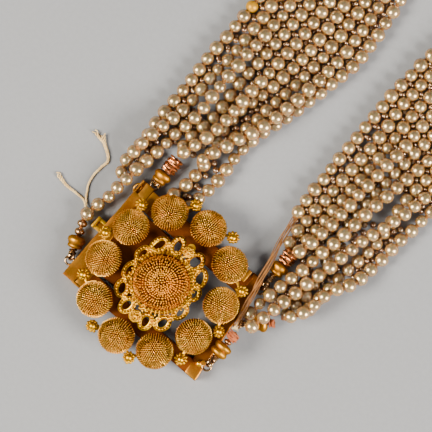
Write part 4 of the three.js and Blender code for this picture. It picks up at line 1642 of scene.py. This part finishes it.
# The two runs of each strand between the clasp and the start of the even band, from the outermost
# strand to the innermost: across, along and, where it is lifted off the table, its height.
RUNS: tuple[tuple[tuple[Pair | Triple, ...], tuple[Pair | Triple, ...]], ...] = (
    (
        ((-19.7, 16.4), (-20.0, 20.5), (-20.2, 25.5), (-20.3, 31), (-20.7, 38), (-20.8, 46)),
        ((22.1, 10.7, 3.4), (23.6, 13.3, 3.6), (24.1, 16, 3.6), (24.6, 18.7, 3.5), (25.7, 21, 3.5),
         (27.1, 23.4, 2.7), (27.6, 26.5, 1.3), (28.0, 30.4), (28.4, 35.4), (28.9, 40.5), (29.4, 46)),
    ),
    (
        ((-19.0, 10.4, 1.2), (-19.8, 13.1, 1.7), (-19.6, 15.8, 3.7), (-19.5, 18.2, 3.7),
         (-19.0, 21, 3.5), (-18.5, 23.4, 3.1), (-17.9, 26.6, 1.8), (-17.8, 30), (-17.9, 35), (-17.6, 41),
         (-17.8, 47)),
        ((17.8, 4.7, 4.7), (18.4, 7.4, 4.8), (19.0, 10.2, 4.3), (19.6, 13, 3.7), (20.1, 16.1, 3.6),
         (20.7, 18.7, 3.6), (21.4, 21.2, 3.6), (21.8, 23.8, 3.5), (22.2, 26.3, 3.5), (22.7, 29, 3.6),
         (23.5, 31.6, 3.6), (24.2, 34, 3.7), (25.1, 36.8, 3.6), (25.9, 40, 3.1), (26.5, 43.5, 2.4),
         (26.9, 47, 1.7)),
    ),
    (
        ((-18.7, 0.4, 2.2), (-18.4, 2.9, 2.4), (-17.75, 5.5, 2.8), (-17.65, 8.1, 3.2),
         (-17.3, 10.6, 3.4), (-17.1, 13.2, 2.8), (-16.7, 15.8, 1.4), (-16.4, 18.4), (-16.1, 22, 1.3),
         (-15.6, 24.5, 2.2), (-15.3, 28, 2.9), (-15.5, 33, 2.9), (-15.7, 38, 2.9), (-15.6, 43, 2.8),
         (-15.5, 48, 1.9)),
        ((23.8, 13.8), (24.1, 17.5), (24.3, 21.8), (24.7, 26.7), (25.2, 31), (25.1, 34), (24.6, 37),
         (24.2, 40.5), (24.3, 44), (24.8, 48)),
    ),
    (
        ((-13.6, 21.6), (-13.3, 25), (-12.8, 29), (-13.0, 33), (-13.3, 38), (-13.2, 43), (-13.0, 48)),
        ((16.15, 6.2, 2.3), (16.3, 8.6, 2.4), (16.7, 11.3, 2.7), (17.2, 13.8, 3.0), (17.6, 16.4, 3.3),
         (18.1, 19, 3.4), (18.5, 21.8, 3.4), (18.9, 24.5, 3.4), (19.5, 27.5, 3.5), (19.8, 30.4, 3.6),
         (20.1, 33.5, 3.5), (20.6, 36.8, 3.4), (21.2, 40.2, 3.0), (21.7, 43.5, 2.2), (22.2, 47, 1.4)),
    ),
    (
        ((-12.7, 20.6, 3.0), (-12.0, 22.8, 3.6), (-11.3, 25.2, 3.5), (-10.7, 28.4, 3.5),
         (-10.6, 32, 3.5), (-10.6, 36, 3.3), (-10.5, 40, 2.2), (-10.3, 44), (-10.2, 48)),
        ((21.3, 10.5), (21.5, 13.5), (21.6, 17.5), (20.7, 22), (19.8, 26), (19.2, 30), (19.0, 35),
         (19.1, 41), (19.4, 47)),
    ),
    (
        ((-8.9, 13.5), (-8.5, 16.4), (-8.3, 20.5), (-8.9, 24), (-9.8, 27.5), (-9.9, 31), (-9.6, 34.5),
         (-8.8, 38), (-8.0, 42), (-7.4, 48)),
        ((15.5, 20.8, 3.0), (16.1, 23.6, 3.6), (16.5, 26.4, 3.5), (16.8, 30, 3.3), (16.9, 36, 3.2),
         (17.1, 41, 3.1), (17.4, 46, 2.7), (17.5, 50, 1.7)),
    ),
    (
        ((-7.2, 28.7), (-6.9, 31), (-6.5, 33.5), (-6.2, 36), (-5.9, 39), (-5.2, 43), (-4.8, 48)),
        ((15.3, 23.2), (15.3, 30), (15.35, 36), (15.4, 40), (15.4, 44), (15.1, 49)),
    ),
    (
        ((-9.1, 22, 3.5), (-8.3, 24.7, 3.6), (-7.3, 27.3, 3.6), (-6.4, 29.6, 3.6), (-5.3, 32.1, 3.6),
         (-4.4, 34.9, 3.6), (-3.8, 37.7, 3.4), (-3.2, 41.5, 3.1), (-2.7, 45, 2.8), (-2.3, 49, 2.0)),
        ((13.1, 20.9), (12.8, 24), (12.8, 30), (12.85, 36), (12.9, 42), (12.7, 48)),
    ),
    (
        ((-5.5, 13.6), (-5.0, 16.4), (-4.5, 19.5), (-4.6, 23), (-4.8, 27), (-4.5, 31), (-3.5, 35),
         (-2.3, 39), (-1.3, 43.5), (-0.2, 49)),
        ((10.5, 26.1), (10.1, 31), (9.9, 37), (9.7, 42), (9.6, 48)),
    ),
)


@dataclass(frozen=True)
class Band:
    """The even band of strands beyond the clasp and the turn at its far end."""

    start: float = 54.0  # how far from the clasp it starts
    left_inner: float = 0.6  # where the innermost strand lies on the left
    right_inner: float = 9.4  # where the innermost strand lies on the right
    pitch: float = 2.7  # the distance between its strands
    parts: int = 5  # in how many parts each of its straight stretches is drawn
    turn_x: float = 4.0  # the middle of the turn, across the clasp
    turn_y: float = 122.0  # the middle of the turn, along the clasp
    inner_radius: float = 17.0  # the turn's radius on the innermost strand
    turn_pitch: float = 2.6  # the distance between the strands in the turn
    lead: float = 1.1  # how far a run is drawn on towards the clasp
    step: float = 0.25  # the distance between a route's points

    def run(self, points: Sequence[Pair | Triple], band_x: float, turn_x: float) -> np.ndarray:
        """One run from the clasp to the turn.

        Args:
            points: Its own points; those without a height lie on the table.
            band_x: Where it lies where the band starts.
            turn_x: Where it lies where the turn starts.

        Returns:
            The route.
        """
        route = [(*point, LOW)[:3] for point in points]
        lead = np.array(route[0]) - np.array(route[1])
        route.insert(0, tuple(route[0] + lead / np.linalg.norm(lead) * self.lead))
        for part in range(self.parts + 1):
            along = part / self.parts
            eased = along * along * (3 - 2 * along)
            y = self.start + (self.turn_y - self.start) * along
            route.append((band_x + (turn_x - band_x) * eased, y, LOW))
        return smooth_route(route, self.step)

    def quarter(self, radius: float, side: int) -> np.ndarray:
        """One quarter of the turn.

        Args:
            radius: Its radius.
            side: -1 on the left and 1 on the right.

        Returns:
            The route, from the band to the far end.
        """
        angle = np.linspace(0, math.pi / 2, 160)
        x = self.turn_x + side * radius * np.cos(angle)
        return np.stack([x, self.turn_y + radius * np.sin(angle), np.full(len(angle), LOW)], 1)


@dataclass
class PearlRow:
    """The pearls of one stretch, before their forms are made."""

    route: np.ndarray  # the thread's route
    places: np.ndarray  # the pearls' centres
    sizes: np.ndarray  # their diameters
    deep: np.ndarray  # their depths along the thread
    ahead: np.ndarray  # the thread's direction at each pearl
    generator: Random  # where their unevenness comes from


@dataclass(frozen=True)
class PearlString:
    """Small pearls along a thread."""

    mean: float = 2.58  # their usual diameter
    spread: float = 0.14  # how much it varies
    smallest: float = 2.1  # the smallest diameter
    largest: float = 2.74  # the largest diameter
    pitch: float = 2.5  # the usual distance from pearl to pearl
    thread: float = 0.42  # the thread's radius

    def row(self, route: np.ndarray, generator: Random) -> PearlRow:
        """Chooses the pearls of a stretch.

        Args:
            route: The thread's route.
            generator: Where their sizes come from.

        Returns:
            The pearls' sizes and places.
        """
        length = length_of(route)
        count = max(2, round(length / self.pitch))
        sizes = np.clip(generator.normal(self.mean, self.spread, count), self.smallest, self.largest)
        deep = sizes * generator.uniform(0.9, 0.98, count)
        deep *= length / deep.sum()
        centres = np.cumsum(deep) - deep / 2
        places = spaced(route, centres)
        ahead = spaced(route, np.minimum(centres + 0.4, length)) - spaced(route, np.maximum(centres - 0.4, 0))
        places[:, :2] += generator.normal(0, 0.05, (count, 2))
        places[:, 2] = np.maximum(places[:, 2], sizes / 2 + 0.02)
        return PearlRow(route, places, sizes, deep, ahead, generator)

    def pearl(self) -> Form:
        """One pearl.

        Returns:
            A pearl of radius 1 drilled along the Z axis, its holes grimy.
        """
        form = ball(16, 12)
        polar = np.abs(form.points[:, 2])
        form.points[:, 2] *= 1 - 0.12 * np.clip((polar - 0.9) / 0.1, 0, 1)
        form.bare = np.clip((1.0 - polar) / 0.16, 0, 1)
        return form

    def form(self, row: PearlRow, seeds: np.ndarray, amber: Pair | None = None) -> Form:
        """The pearls of a stretch, the tiny ones caught beside them and their thread.

        Args:
            row: The pearls' sizes and places.
            seeds: The centre and radius of each tiny pearl.
            amber: Where an amber bead takes a pearl's place, or None.

        Returns:
            The string.
        """
        generator, places, sizes, count = row.generator, row.places, row.sizes, len(row.places)
        turns = np.stack([facing(way, generator.uniform(0, ANY_SPIN)) for way in row.ahead])
        turns[:, :, 0] *= (sizes / 2 * generator.uniform(0.96, 1.03, count))[:, None]
        turns[:, :, 1] *= (sizes / 2 * generator.uniform(0.97, 1.02, count))[:, None]
        turns[:, :, 2] *= (np.minimum(row.deep * 1.01, sizes) / 2)[:, None]
        pearls = self.pearl().copies(turns, places, generator.beta(1.6, 2.4, count))
        pearls.points = self.lumps(pearls.points, places, generator)
        if amber is not None:
            nearest = int(np.argmin(np.hypot(places[:, 0] - amber[0], places[:, 1] - amber[1])))
            each = len(pearls.faces) // count
            pearls.finish[nearest * each : (nearest + 1) * each] = Finish.AMBER
        thread = rod(spaced(row.route, np.linspace(0, length_of(row.route), count * 2 + 1)), self.thread, 5)
        return joined([pearls, self.seed_pearls(seeds, generator), thread.finished(Finish.SILK)])

    def seed_pearls(self, seeds: np.ndarray, generator: Random) -> Form:
        """Tiny brownish pearls.

        Args:
            seeds: The centre and radius of each.
            generator: Where their shades come from.

        Returns:
            The tiny pearls.
        """
        count = len(seeds)
        tints = generator.uniform(0.3, 0.9, count)
        form = ball(7, 5).copies(np.eye(3)[None] * seeds[:, 3, None, None], seeds[:, :3], tints)
        form.bare = np.repeat(generator.uniform(0.1, 0.5, count), len(form.points) // count)
        return form

    def lumps(self, points: np.ndarray, places: np.ndarray, generator: Random) -> np.ndarray:
        """Makes pearls a little uneven.

        Args:
            points: Their points.
            places: Their centres.
            generator: Where the unevenness comes from.

        Returns:
            The moved points.
        """
        count = len(places)
        each = len(points) // count
        way = generator.normal(0, 1, (count, 3))
        way = np.repeat(way / np.linalg.norm(way, axis=1)[:, None], each, 0)
        phase = np.repeat(generator.uniform(0, ANY_SPIN, count), each)
        centres = np.repeat(places, each, 0)
        out = points - centres
        lift = np.sin((out * way).sum(1) * 2.2 + phase)
        return centres + out * (1 + 0.018 * lift)[:, None]


@dataclass(frozen=True)
class GapPearls:
    """Tiny pearls that fill the gaps between the pearls of neighbouring strands."""

    smallest: float = 0.36  # the smallest radius
    largest: float = 0.75  # the largest radius
    reach: float = 3.4  # how far away a pearl still counts as a neighbour
    squeeze: float = 0.06  # how far one is pressed in between its neighbours
    beyond: float = 2.4  # how far from the thread the next strand is looked for
    clear: float = 1.7  # how far round that place it is looked for
    offsets: tuple[float, ...] = (0.9, 1.05, 1.2, 1.35, 1.5)  # the distances from the thread that are tried
    heights: tuple[float, ...] = (0.7, 1.0, 1.3, 1.6)  # the heights that are tried

    def choose(self, rows: dict[str, PearlRow]) -> dict[str, np.ndarray]:
        """Finds a place for each tiny pearl.

        Args:
            rows: The pearls of every stretch.

        Returns:
            The centre and radius of each tiny pearl, for every stretch.
        """
        centres = np.vstack([row.places for row in rows.values()])
        radii = np.concatenate([row.sizes for row in rows.values()]) / 2
        crowd = KDTree(len(centres))
        for number, centre in enumerate(centres):
            crowd.insert(centre, number)
        crowd.balance()
        taken = [np.array([0.0, 0.0, -99.0, 0.0])]
        chosen = {}
        for name, row in rows.items():
            first = len(taken)
            middles = (row.places[:-1] + row.places[1:]) / 2
            across = np.cross(row.ahead[:-1], (0, 0, 1))
            across /= np.linalg.norm(across, axis=1)[:, None]
            for middle, side in zip(middles, across):
                for way in (-side, side):
                    seed = self.best(middle, way, crowd, radii, np.array(taken))
                    if seed is not None:
                        taken.append(seed)
            chosen[name] = np.array(taken[first:])
        return chosen

    def best(
        self, middle: np.ndarray, side: np.ndarray, crowd: KDTree, radii: np.ndarray, taken: np.ndarray
    ) -> np.ndarray | None:
        """The roomiest place beside the thread.

        Args:
            middle: The point of the thread between two pearls.
            side: The direction away from the thread.
            crowd: All pearls.
            radii: Their radii.
            taken: The tiny pearls that are already placed.

        Returns:
            The centre and radius, or None where there is no room or no neighbouring strand.
        """
        if not crowd.find_range(middle + side * self.beyond, self.clear):
            return None
        found = None
        for offset in self.offsets:
            for height in self.heights:
                spot = np.array([*(middle + side * offset)[:2], height])
                near = crowd.find_range(spot, self.reach)
                room = min((away - radii[number] for _, number, away in near), default=0.0)
                room = min(room, (np.linalg.norm(taken[:, :3] - spot, axis=1) - taken[:, 3]).min())
                if found is None or room > found[3]:
                    found = np.array([*spot, room])
        found[3] = min(found[3] + self.squeeze, self.largest, found[2])
        return found if found[3] > self.smallest else None


@dataclass(frozen=True)
class Strand:
    """One strand of pearls in four stretches."""

    index: int  # its place from the outermost strand, from 0
    band: Band = Band()  # the band that it belongs to
    string: PearlString = PearlString()  # how its pearls are strung
    amber: Pair = (-20.8, 49.5)  # where the outermost strand has its amber bead

    def routes(self) -> dict[str, np.ndarray]:
        """The routes of its stretches.

        Returns:
            One route for the name of each stretch.
        """
        band = self.band
        outwards = len(RUNS) - 1 - self.index
        radius = band.inner_radius + outwards * band.turn_pitch
        left, right = RUNS[self.index]
        return {
            "left_run": band.run(left, band.left_inner - outwards * band.pitch, band.turn_x - radius),
            "left_turn": band.quarter(radius, -1),
            "right_turn": band.quarter(radius, 1),
            "right_run": band.run(right, band.right_inner + outwards * band.pitch, band.turn_x + radius),
        }

    def rows(self) -> dict[str, PearlRow]:
        """The pearls of its stretches.

        Returns:
            One row for the full name of each stretch.
        """
        rows = {}
        for place, (label, route) in enumerate(self.routes().items()):
            generator = np.random.default_rng(1000 + 10 * self.index + place)
            route[:, 2] = np.maximum(route[:, 2], LOW)
            rows[f"{self.index + 1}_{label}"] = self.string.row(route, generator)
        return rows

    def make(self, rows: dict[str, PearlRow], seeds: dict[str, np.ndarray]) -> Pieces:
        """Puts the strand's stretches on the bench.

        Args:
            rows: The pearls of its stretches.
            seeds: The tiny pearls of every stretch.

        Returns:
            The pieces.
        """
        pieces = []
        for name, row in rows.items():
            amber = self.amber if name == "1_left_run" else None
            form = self.string.form(row, seeds[name], amber)
            pieces.append(bench(f"pearls_{name}", form, Finish.PEARL, (f"strand_{name}",), crease=80))
        return pieces


@dataclass(frozen=True)
class Strands:
    """All strands, with the tiny pearls between them."""

    gaps: GapPearls = GapPearls()  # the tiny pearls

    def make(self) -> Pieces:
        """Puts the strands on the bench.

        Returns:
            The pieces.
        """
        strands = [Strand(index) for index in range(len(RUNS))]
        rows = [strand.rows() for strand in strands]
        seeds = self.gaps.choose({name: row for each in rows for name, row in each.items()})
        return [piece for strand, own in zip(strands, rows) for piece in strand.make(own, seeds)]


# Bare threads


@dataclass(frozen=True)
class ThreadBundle:
    """The threads of the innermost strand that carry no pearls, from its last pearl over the leaning bar."""

    line: tuple[Triple, ...] = (  # the points of its middle line
        (10.75, 25.5, 1.2), (11.3, 21.5, 1.6), (12.1, 17.9, 2.7), (12.75, 15.4, 3.4), (13.4, 12.4, 3.85),
        (14.1, 9.2, 3.85), (14.8, 6.2, 3.85), (15.5, 3.6, 3.85), (15.75, 2.75, 3.85),
    )
    threads: int = 5  # how many threads it has
    thick: float = 0.11  # a thread's radius, give or take a quarter
    reach: float = 0.44  # how far they lie from the middle line
    fibres: int = 7  # how many straw-coloured fibres stick out at its end
    fibre: float = 0.08  # a fibre's radius
    fan: float = 0.11  # how much further aside each fibre points than the one before

    def make(self) -> Pieces:
        """Puts the bundle on the bench.

        Returns:
            The piece.
        """
        route = smooth_route(self.line, 0.4)
        share = np.linspace(0, 1, len(route))
        forms = []
        for thread in range(self.threads):
            angle = thread * TAU / self.threads + share * 4.6
            reach = self.reach * (0.9 + 0.4 * np.sin(share * 9 + thread * 2.4))
            forms.append(rod(wound(route, reach, angle), self.thick * (0.85 + 0.1 * thread), 6))
        end, ahead = route[-1], route[-1] - route[-4]
        side = np.cross(ahead, (0, 0, 1))
        for fibre in range(self.fibres):
            spread = (fibre - self.fibres // 2) * self.fan
            points = [
                end - ahead * 1.2,
                end + side * spread * 0.6 + (0, 0, 0.15),
                end + ahead * 0.55 + side * spread * 1.8 + (0, 0, 0.1 - 0.03 * fibre),
            ]
            forms.append(rod(smooth_route(points, 0.2), self.fibre, 5).finished(Finish.STRAW_SILK))
        return [bench("bare_threads", joined(forms), Finish.SILK, ("thread_bundle",))]


@dataclass(frozen=True)
class FrayedSilk:
    """The loose ends of a broken thread, lying on the table beside the left strands."""

    branches: tuple[tuple[Triple, ...], ...] = (  # the points of each end's middle line
        (
            (-18.9, 0.6, 1.2), (-19.8, 1.4, 0.6), (-20.75, 2.5, 0.3), (-22.1, 4.7, 0.28),
            (-22.5, 6.5, 0.28), (-22.4, 8.7, 0.28), (-22.2, 10.2, 0.28), (-23.1, 11.3, 0.28),
            (-24.6, 12.2, 0.3), (-26.8, 14.0, 0.5),
        ),
        (
            (-18.9, 0.5, 1.3), (-19.8, 1.3, 0.7), (-21.05, 2.0, 0.3), (-23.1, 2.0, 0.28),
            (-25.3, 1.95, 0.28), (-28.0, 2.6, 0.35),
        ),
        ((-23.9, 11.8, 0.3), (-24.9, 12.3, 0.3), (-26.5, 12.6, 0.3), (-27.9, 13.1, 0.4)),
    )
    plies: int = 3  # how many plies each end has
    thick: float = 0.12  # a ply's radius
    reach: float = 0.15  # how far the plies lie from the middle line
    turn_length: float = 1.9  # the length of one twist

    def make(self) -> Pieces:
        """Puts the loose silk on the bench.

        Returns:
            The piece.
        """
        generator = np.random.default_rng(5)
        forms = []
        for branch in self.branches:
            route = smooth_route(branch, 0.17)
            share = np.linspace(0, 1, len(route))
            turns = share * length_of(route) / self.turn_length
            for ply in range(self.plies):
                reach = self.reach * (0.8 + 2.6 * share**6 + 0.2 * np.sin(share * 11 + ply))
                line = wound(route, reach, (ply / self.plies + turns) * TAU, 0.6)
                line[:, 2] = np.maximum(line[:, 2], self.thick + 0.02)
                keep = len(line) - int(generator.uniform(0, 8))
                forms.append(rod(line[:keep], self.thick, 5))
        return [bench("frayed_silk", joined(forms), Finish.STRAW_SILK)]


# Table, lights and camera


@dataclass(frozen=True)
class Softbox:
    """A rectangular soft light that faces the middle of the view."""

    name: str  # the light's name
    around: float  # its direction in the view, in degrees from the right, anticlockwise
    off: float  # its angle from straight above, in degrees
    width: float  # its width in millimetres
    power: float  # its power in watts
    tone: Triple  # its colour
    height: float = 425.0  # its height in millimetres
    reach: float = 900.0  # how far away it hangs, in millimetres

    def hang(self, studio: "Studio") -> None:
        """Hangs the light.

        Args:
            studio: The studio that it lights.
        """
        data = bpy.data.lights.new(self.name, "AREA")
        data.shape = "RECTANGLE"
        data.size, data.size_y = self.width * MM, self.height * MM
        data.energy, data.color = self.power, self.tone
        angle, off = math.radians(self.around), math.radians(self.off)
        flat, height = self.reach * math.sin(off), self.reach * math.cos(off)
        light = bpy.data.objects.new(self.name, data)
        light.location = studio.point(flat * math.cos(angle), flat * math.sin(angle), height)
        aim = studio.point(0, 0, 0) - light.location
        light.rotation_euler = aim.to_track_quat("-Z", "Y").to_euler()
        bpy.context.scene.collection.objects.link(light)


@dataclass(frozen=True)
class Studio:
    """The table, the soft lights and the camera above the clasp."""

    aim: Pair = (-0.47, 15.77)  # the middle of the view, in clasp millimetres
    turn: float = 41.0  # how far the view is turned about the vertical, in degrees
    width: float = 79.9  # how wide the view is at the table, in millimetres
    distance: float = 1000.0  # how far the camera is above the table, in millimetres
    sensor: float = 36.0  # the width of the camera's sensor, in millimetres
    wall: float = 0.45  # how bright the room is all round
    ceiling: float = 0.3  # how bright it is overhead
    # the heights between which the wall's light becomes the ceiling's, on a globe of radius 1
    dusk: Pair = (0.78, 0.93)
    front: float = 0.75  # how much brighter it is at the front, and how much darker opposite
    front_angle: float = -65.0  # where the front is in the view, in degrees from the right, anticlockwise
    air: Triple = (1.0, 0.97, 0.94)  # the colour of the room's light
    table_half: float = 3.0  # half of the table's width in metres
    table_drop: float = 0.02  # how far the table lies below the strands, in millimetres
    softboxes: tuple[Softbox, ...] = (  # the soft lights
        Softbox("left_softbox", 187, 48, 410.0, 30.0, (1.0, 0.92, 0.77)),
        Softbox("right_softbox", -33, 58, 365.0, 28.0, (1.0, 0.93, 0.81)),
    )

    def point(self, right: float, up: float, height: float) -> Vector:
        """A place given by its distances right and up in the view, in the part's frame.

        Args:
            right: Millimetres to the right in the view.
            up: Millimetres upwards in the view.
            height: Millimetres above the table.

        Returns:
            The place in metres.
        """
        angle = math.radians(self.turn)
        x = self.aim[0] + right * math.cos(angle) - up * math.sin(angle)
        y = self.aim[1] + right * math.sin(angle) + up * math.cos(angle)
        return Vector(np.array([x, y, height]) * MM + CLASP_CENTRE)

    def camera(self) -> None:
        """Places the camera straight above the table."""
        data = bpy.data.cameras.new("camera")
        data.sensor_width = self.sensor
        data.lens = self.sensor * self.distance / self.width
        data.clip_start, data.clip_end = 0.01, 10.0
        camera = bpy.data.objects.new("camera", data)
        camera.location = self.point(0, 0, self.distance)
        camera.rotation_euler = (0, 0, math.radians(self.turn))
        bpy.context.scene.collection.objects.link(camera)
        bpy.context.scene.camera = camera

    def table(self) -> None:
        """Lays the pale table."""
        half = self.table_half
        corners = [(-half, -half, 0), (half, -half, 0), (half, half, 0), (-half, half, 0)]
        mesh = bpy.data.meshes.new("table")
        mesh.from_pydata(corners, [], [(0, 1, 2, 3)])
        mesh.materials.append(TablePaper().build())
        table = bpy.data.objects.new("table", mesh)
        table.location.z = -self.table_drop * MM
        bpy.context.scene.collection.objects.link(table)

    def room(self) -> None:
        """Gives the room its soft grey light."""
        world = bpy.data.worlds.new("room")
        bpy.context.scene.world = world
        world.use_nodes = True
        wiring = Wiring(world.node_tree)
        place = wiring.node("ShaderNodeTexCoord", "Generated")
        height = wiring.node("ShaderNodeSeparateXYZ", "Z", Vector=place)
        gloom = wiring.fitted(height, *self.dusk, (self.wall, self.ceiling))
        slope = wiring.nodes.new("ShaderNodeVectorMath")
        slope.operation = "DOT_PRODUCT"
        angle = math.radians(self.turn + self.front_angle)
        wiring.feed(slope.inputs[0], place)
        wiring.feed(slope.inputs[1], (math.cos(angle), math.sin(angle), 0))
        share = wiring.fitted(slope.outputs["Value"], -1.0, 1.0, (1 - self.front, 1 + self.front))
        background = wiring.nodes["Background"]
        wiring.feed(background.inputs["Color"], colour(self.air))
        wiring.feed(background.inputs["Strength"], wiring.worked(gloom, share))
        wiring.feed(wiring.nodes["World Output"].inputs[0], background.outputs[0])

    def make(self) -> Pieces:
        """Sets up the studio.

        Returns:
            No pieces, as none of it belongs to the necklace.
        """
        self.camera()
        self.table()
        self.room()
        for softbox in self.softboxes:
            softbox.hang(self)
        return []


# Assembly


def save_sizes() -> None:
    """Updates the view layer."""
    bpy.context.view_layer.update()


def main() -> None:
    """Sets up the studio, builds the necklace piece by piece and reports each piece."""
    logging.basicConfig(level=logging.INFO, format="%(name)s: %(message)s")
    makers = (Studio(), Rosette(), *TERMINALS, GatheredKnot(), Strands(), ThreadBundle(), FrayedSilk())
    for maker in makers:
        for piece in maker.make():
            LOG.info("%s: %d faces", piece.name, len(piece.data.polygons))
    save_sizes()


if __name__ == "__main__":
    main()
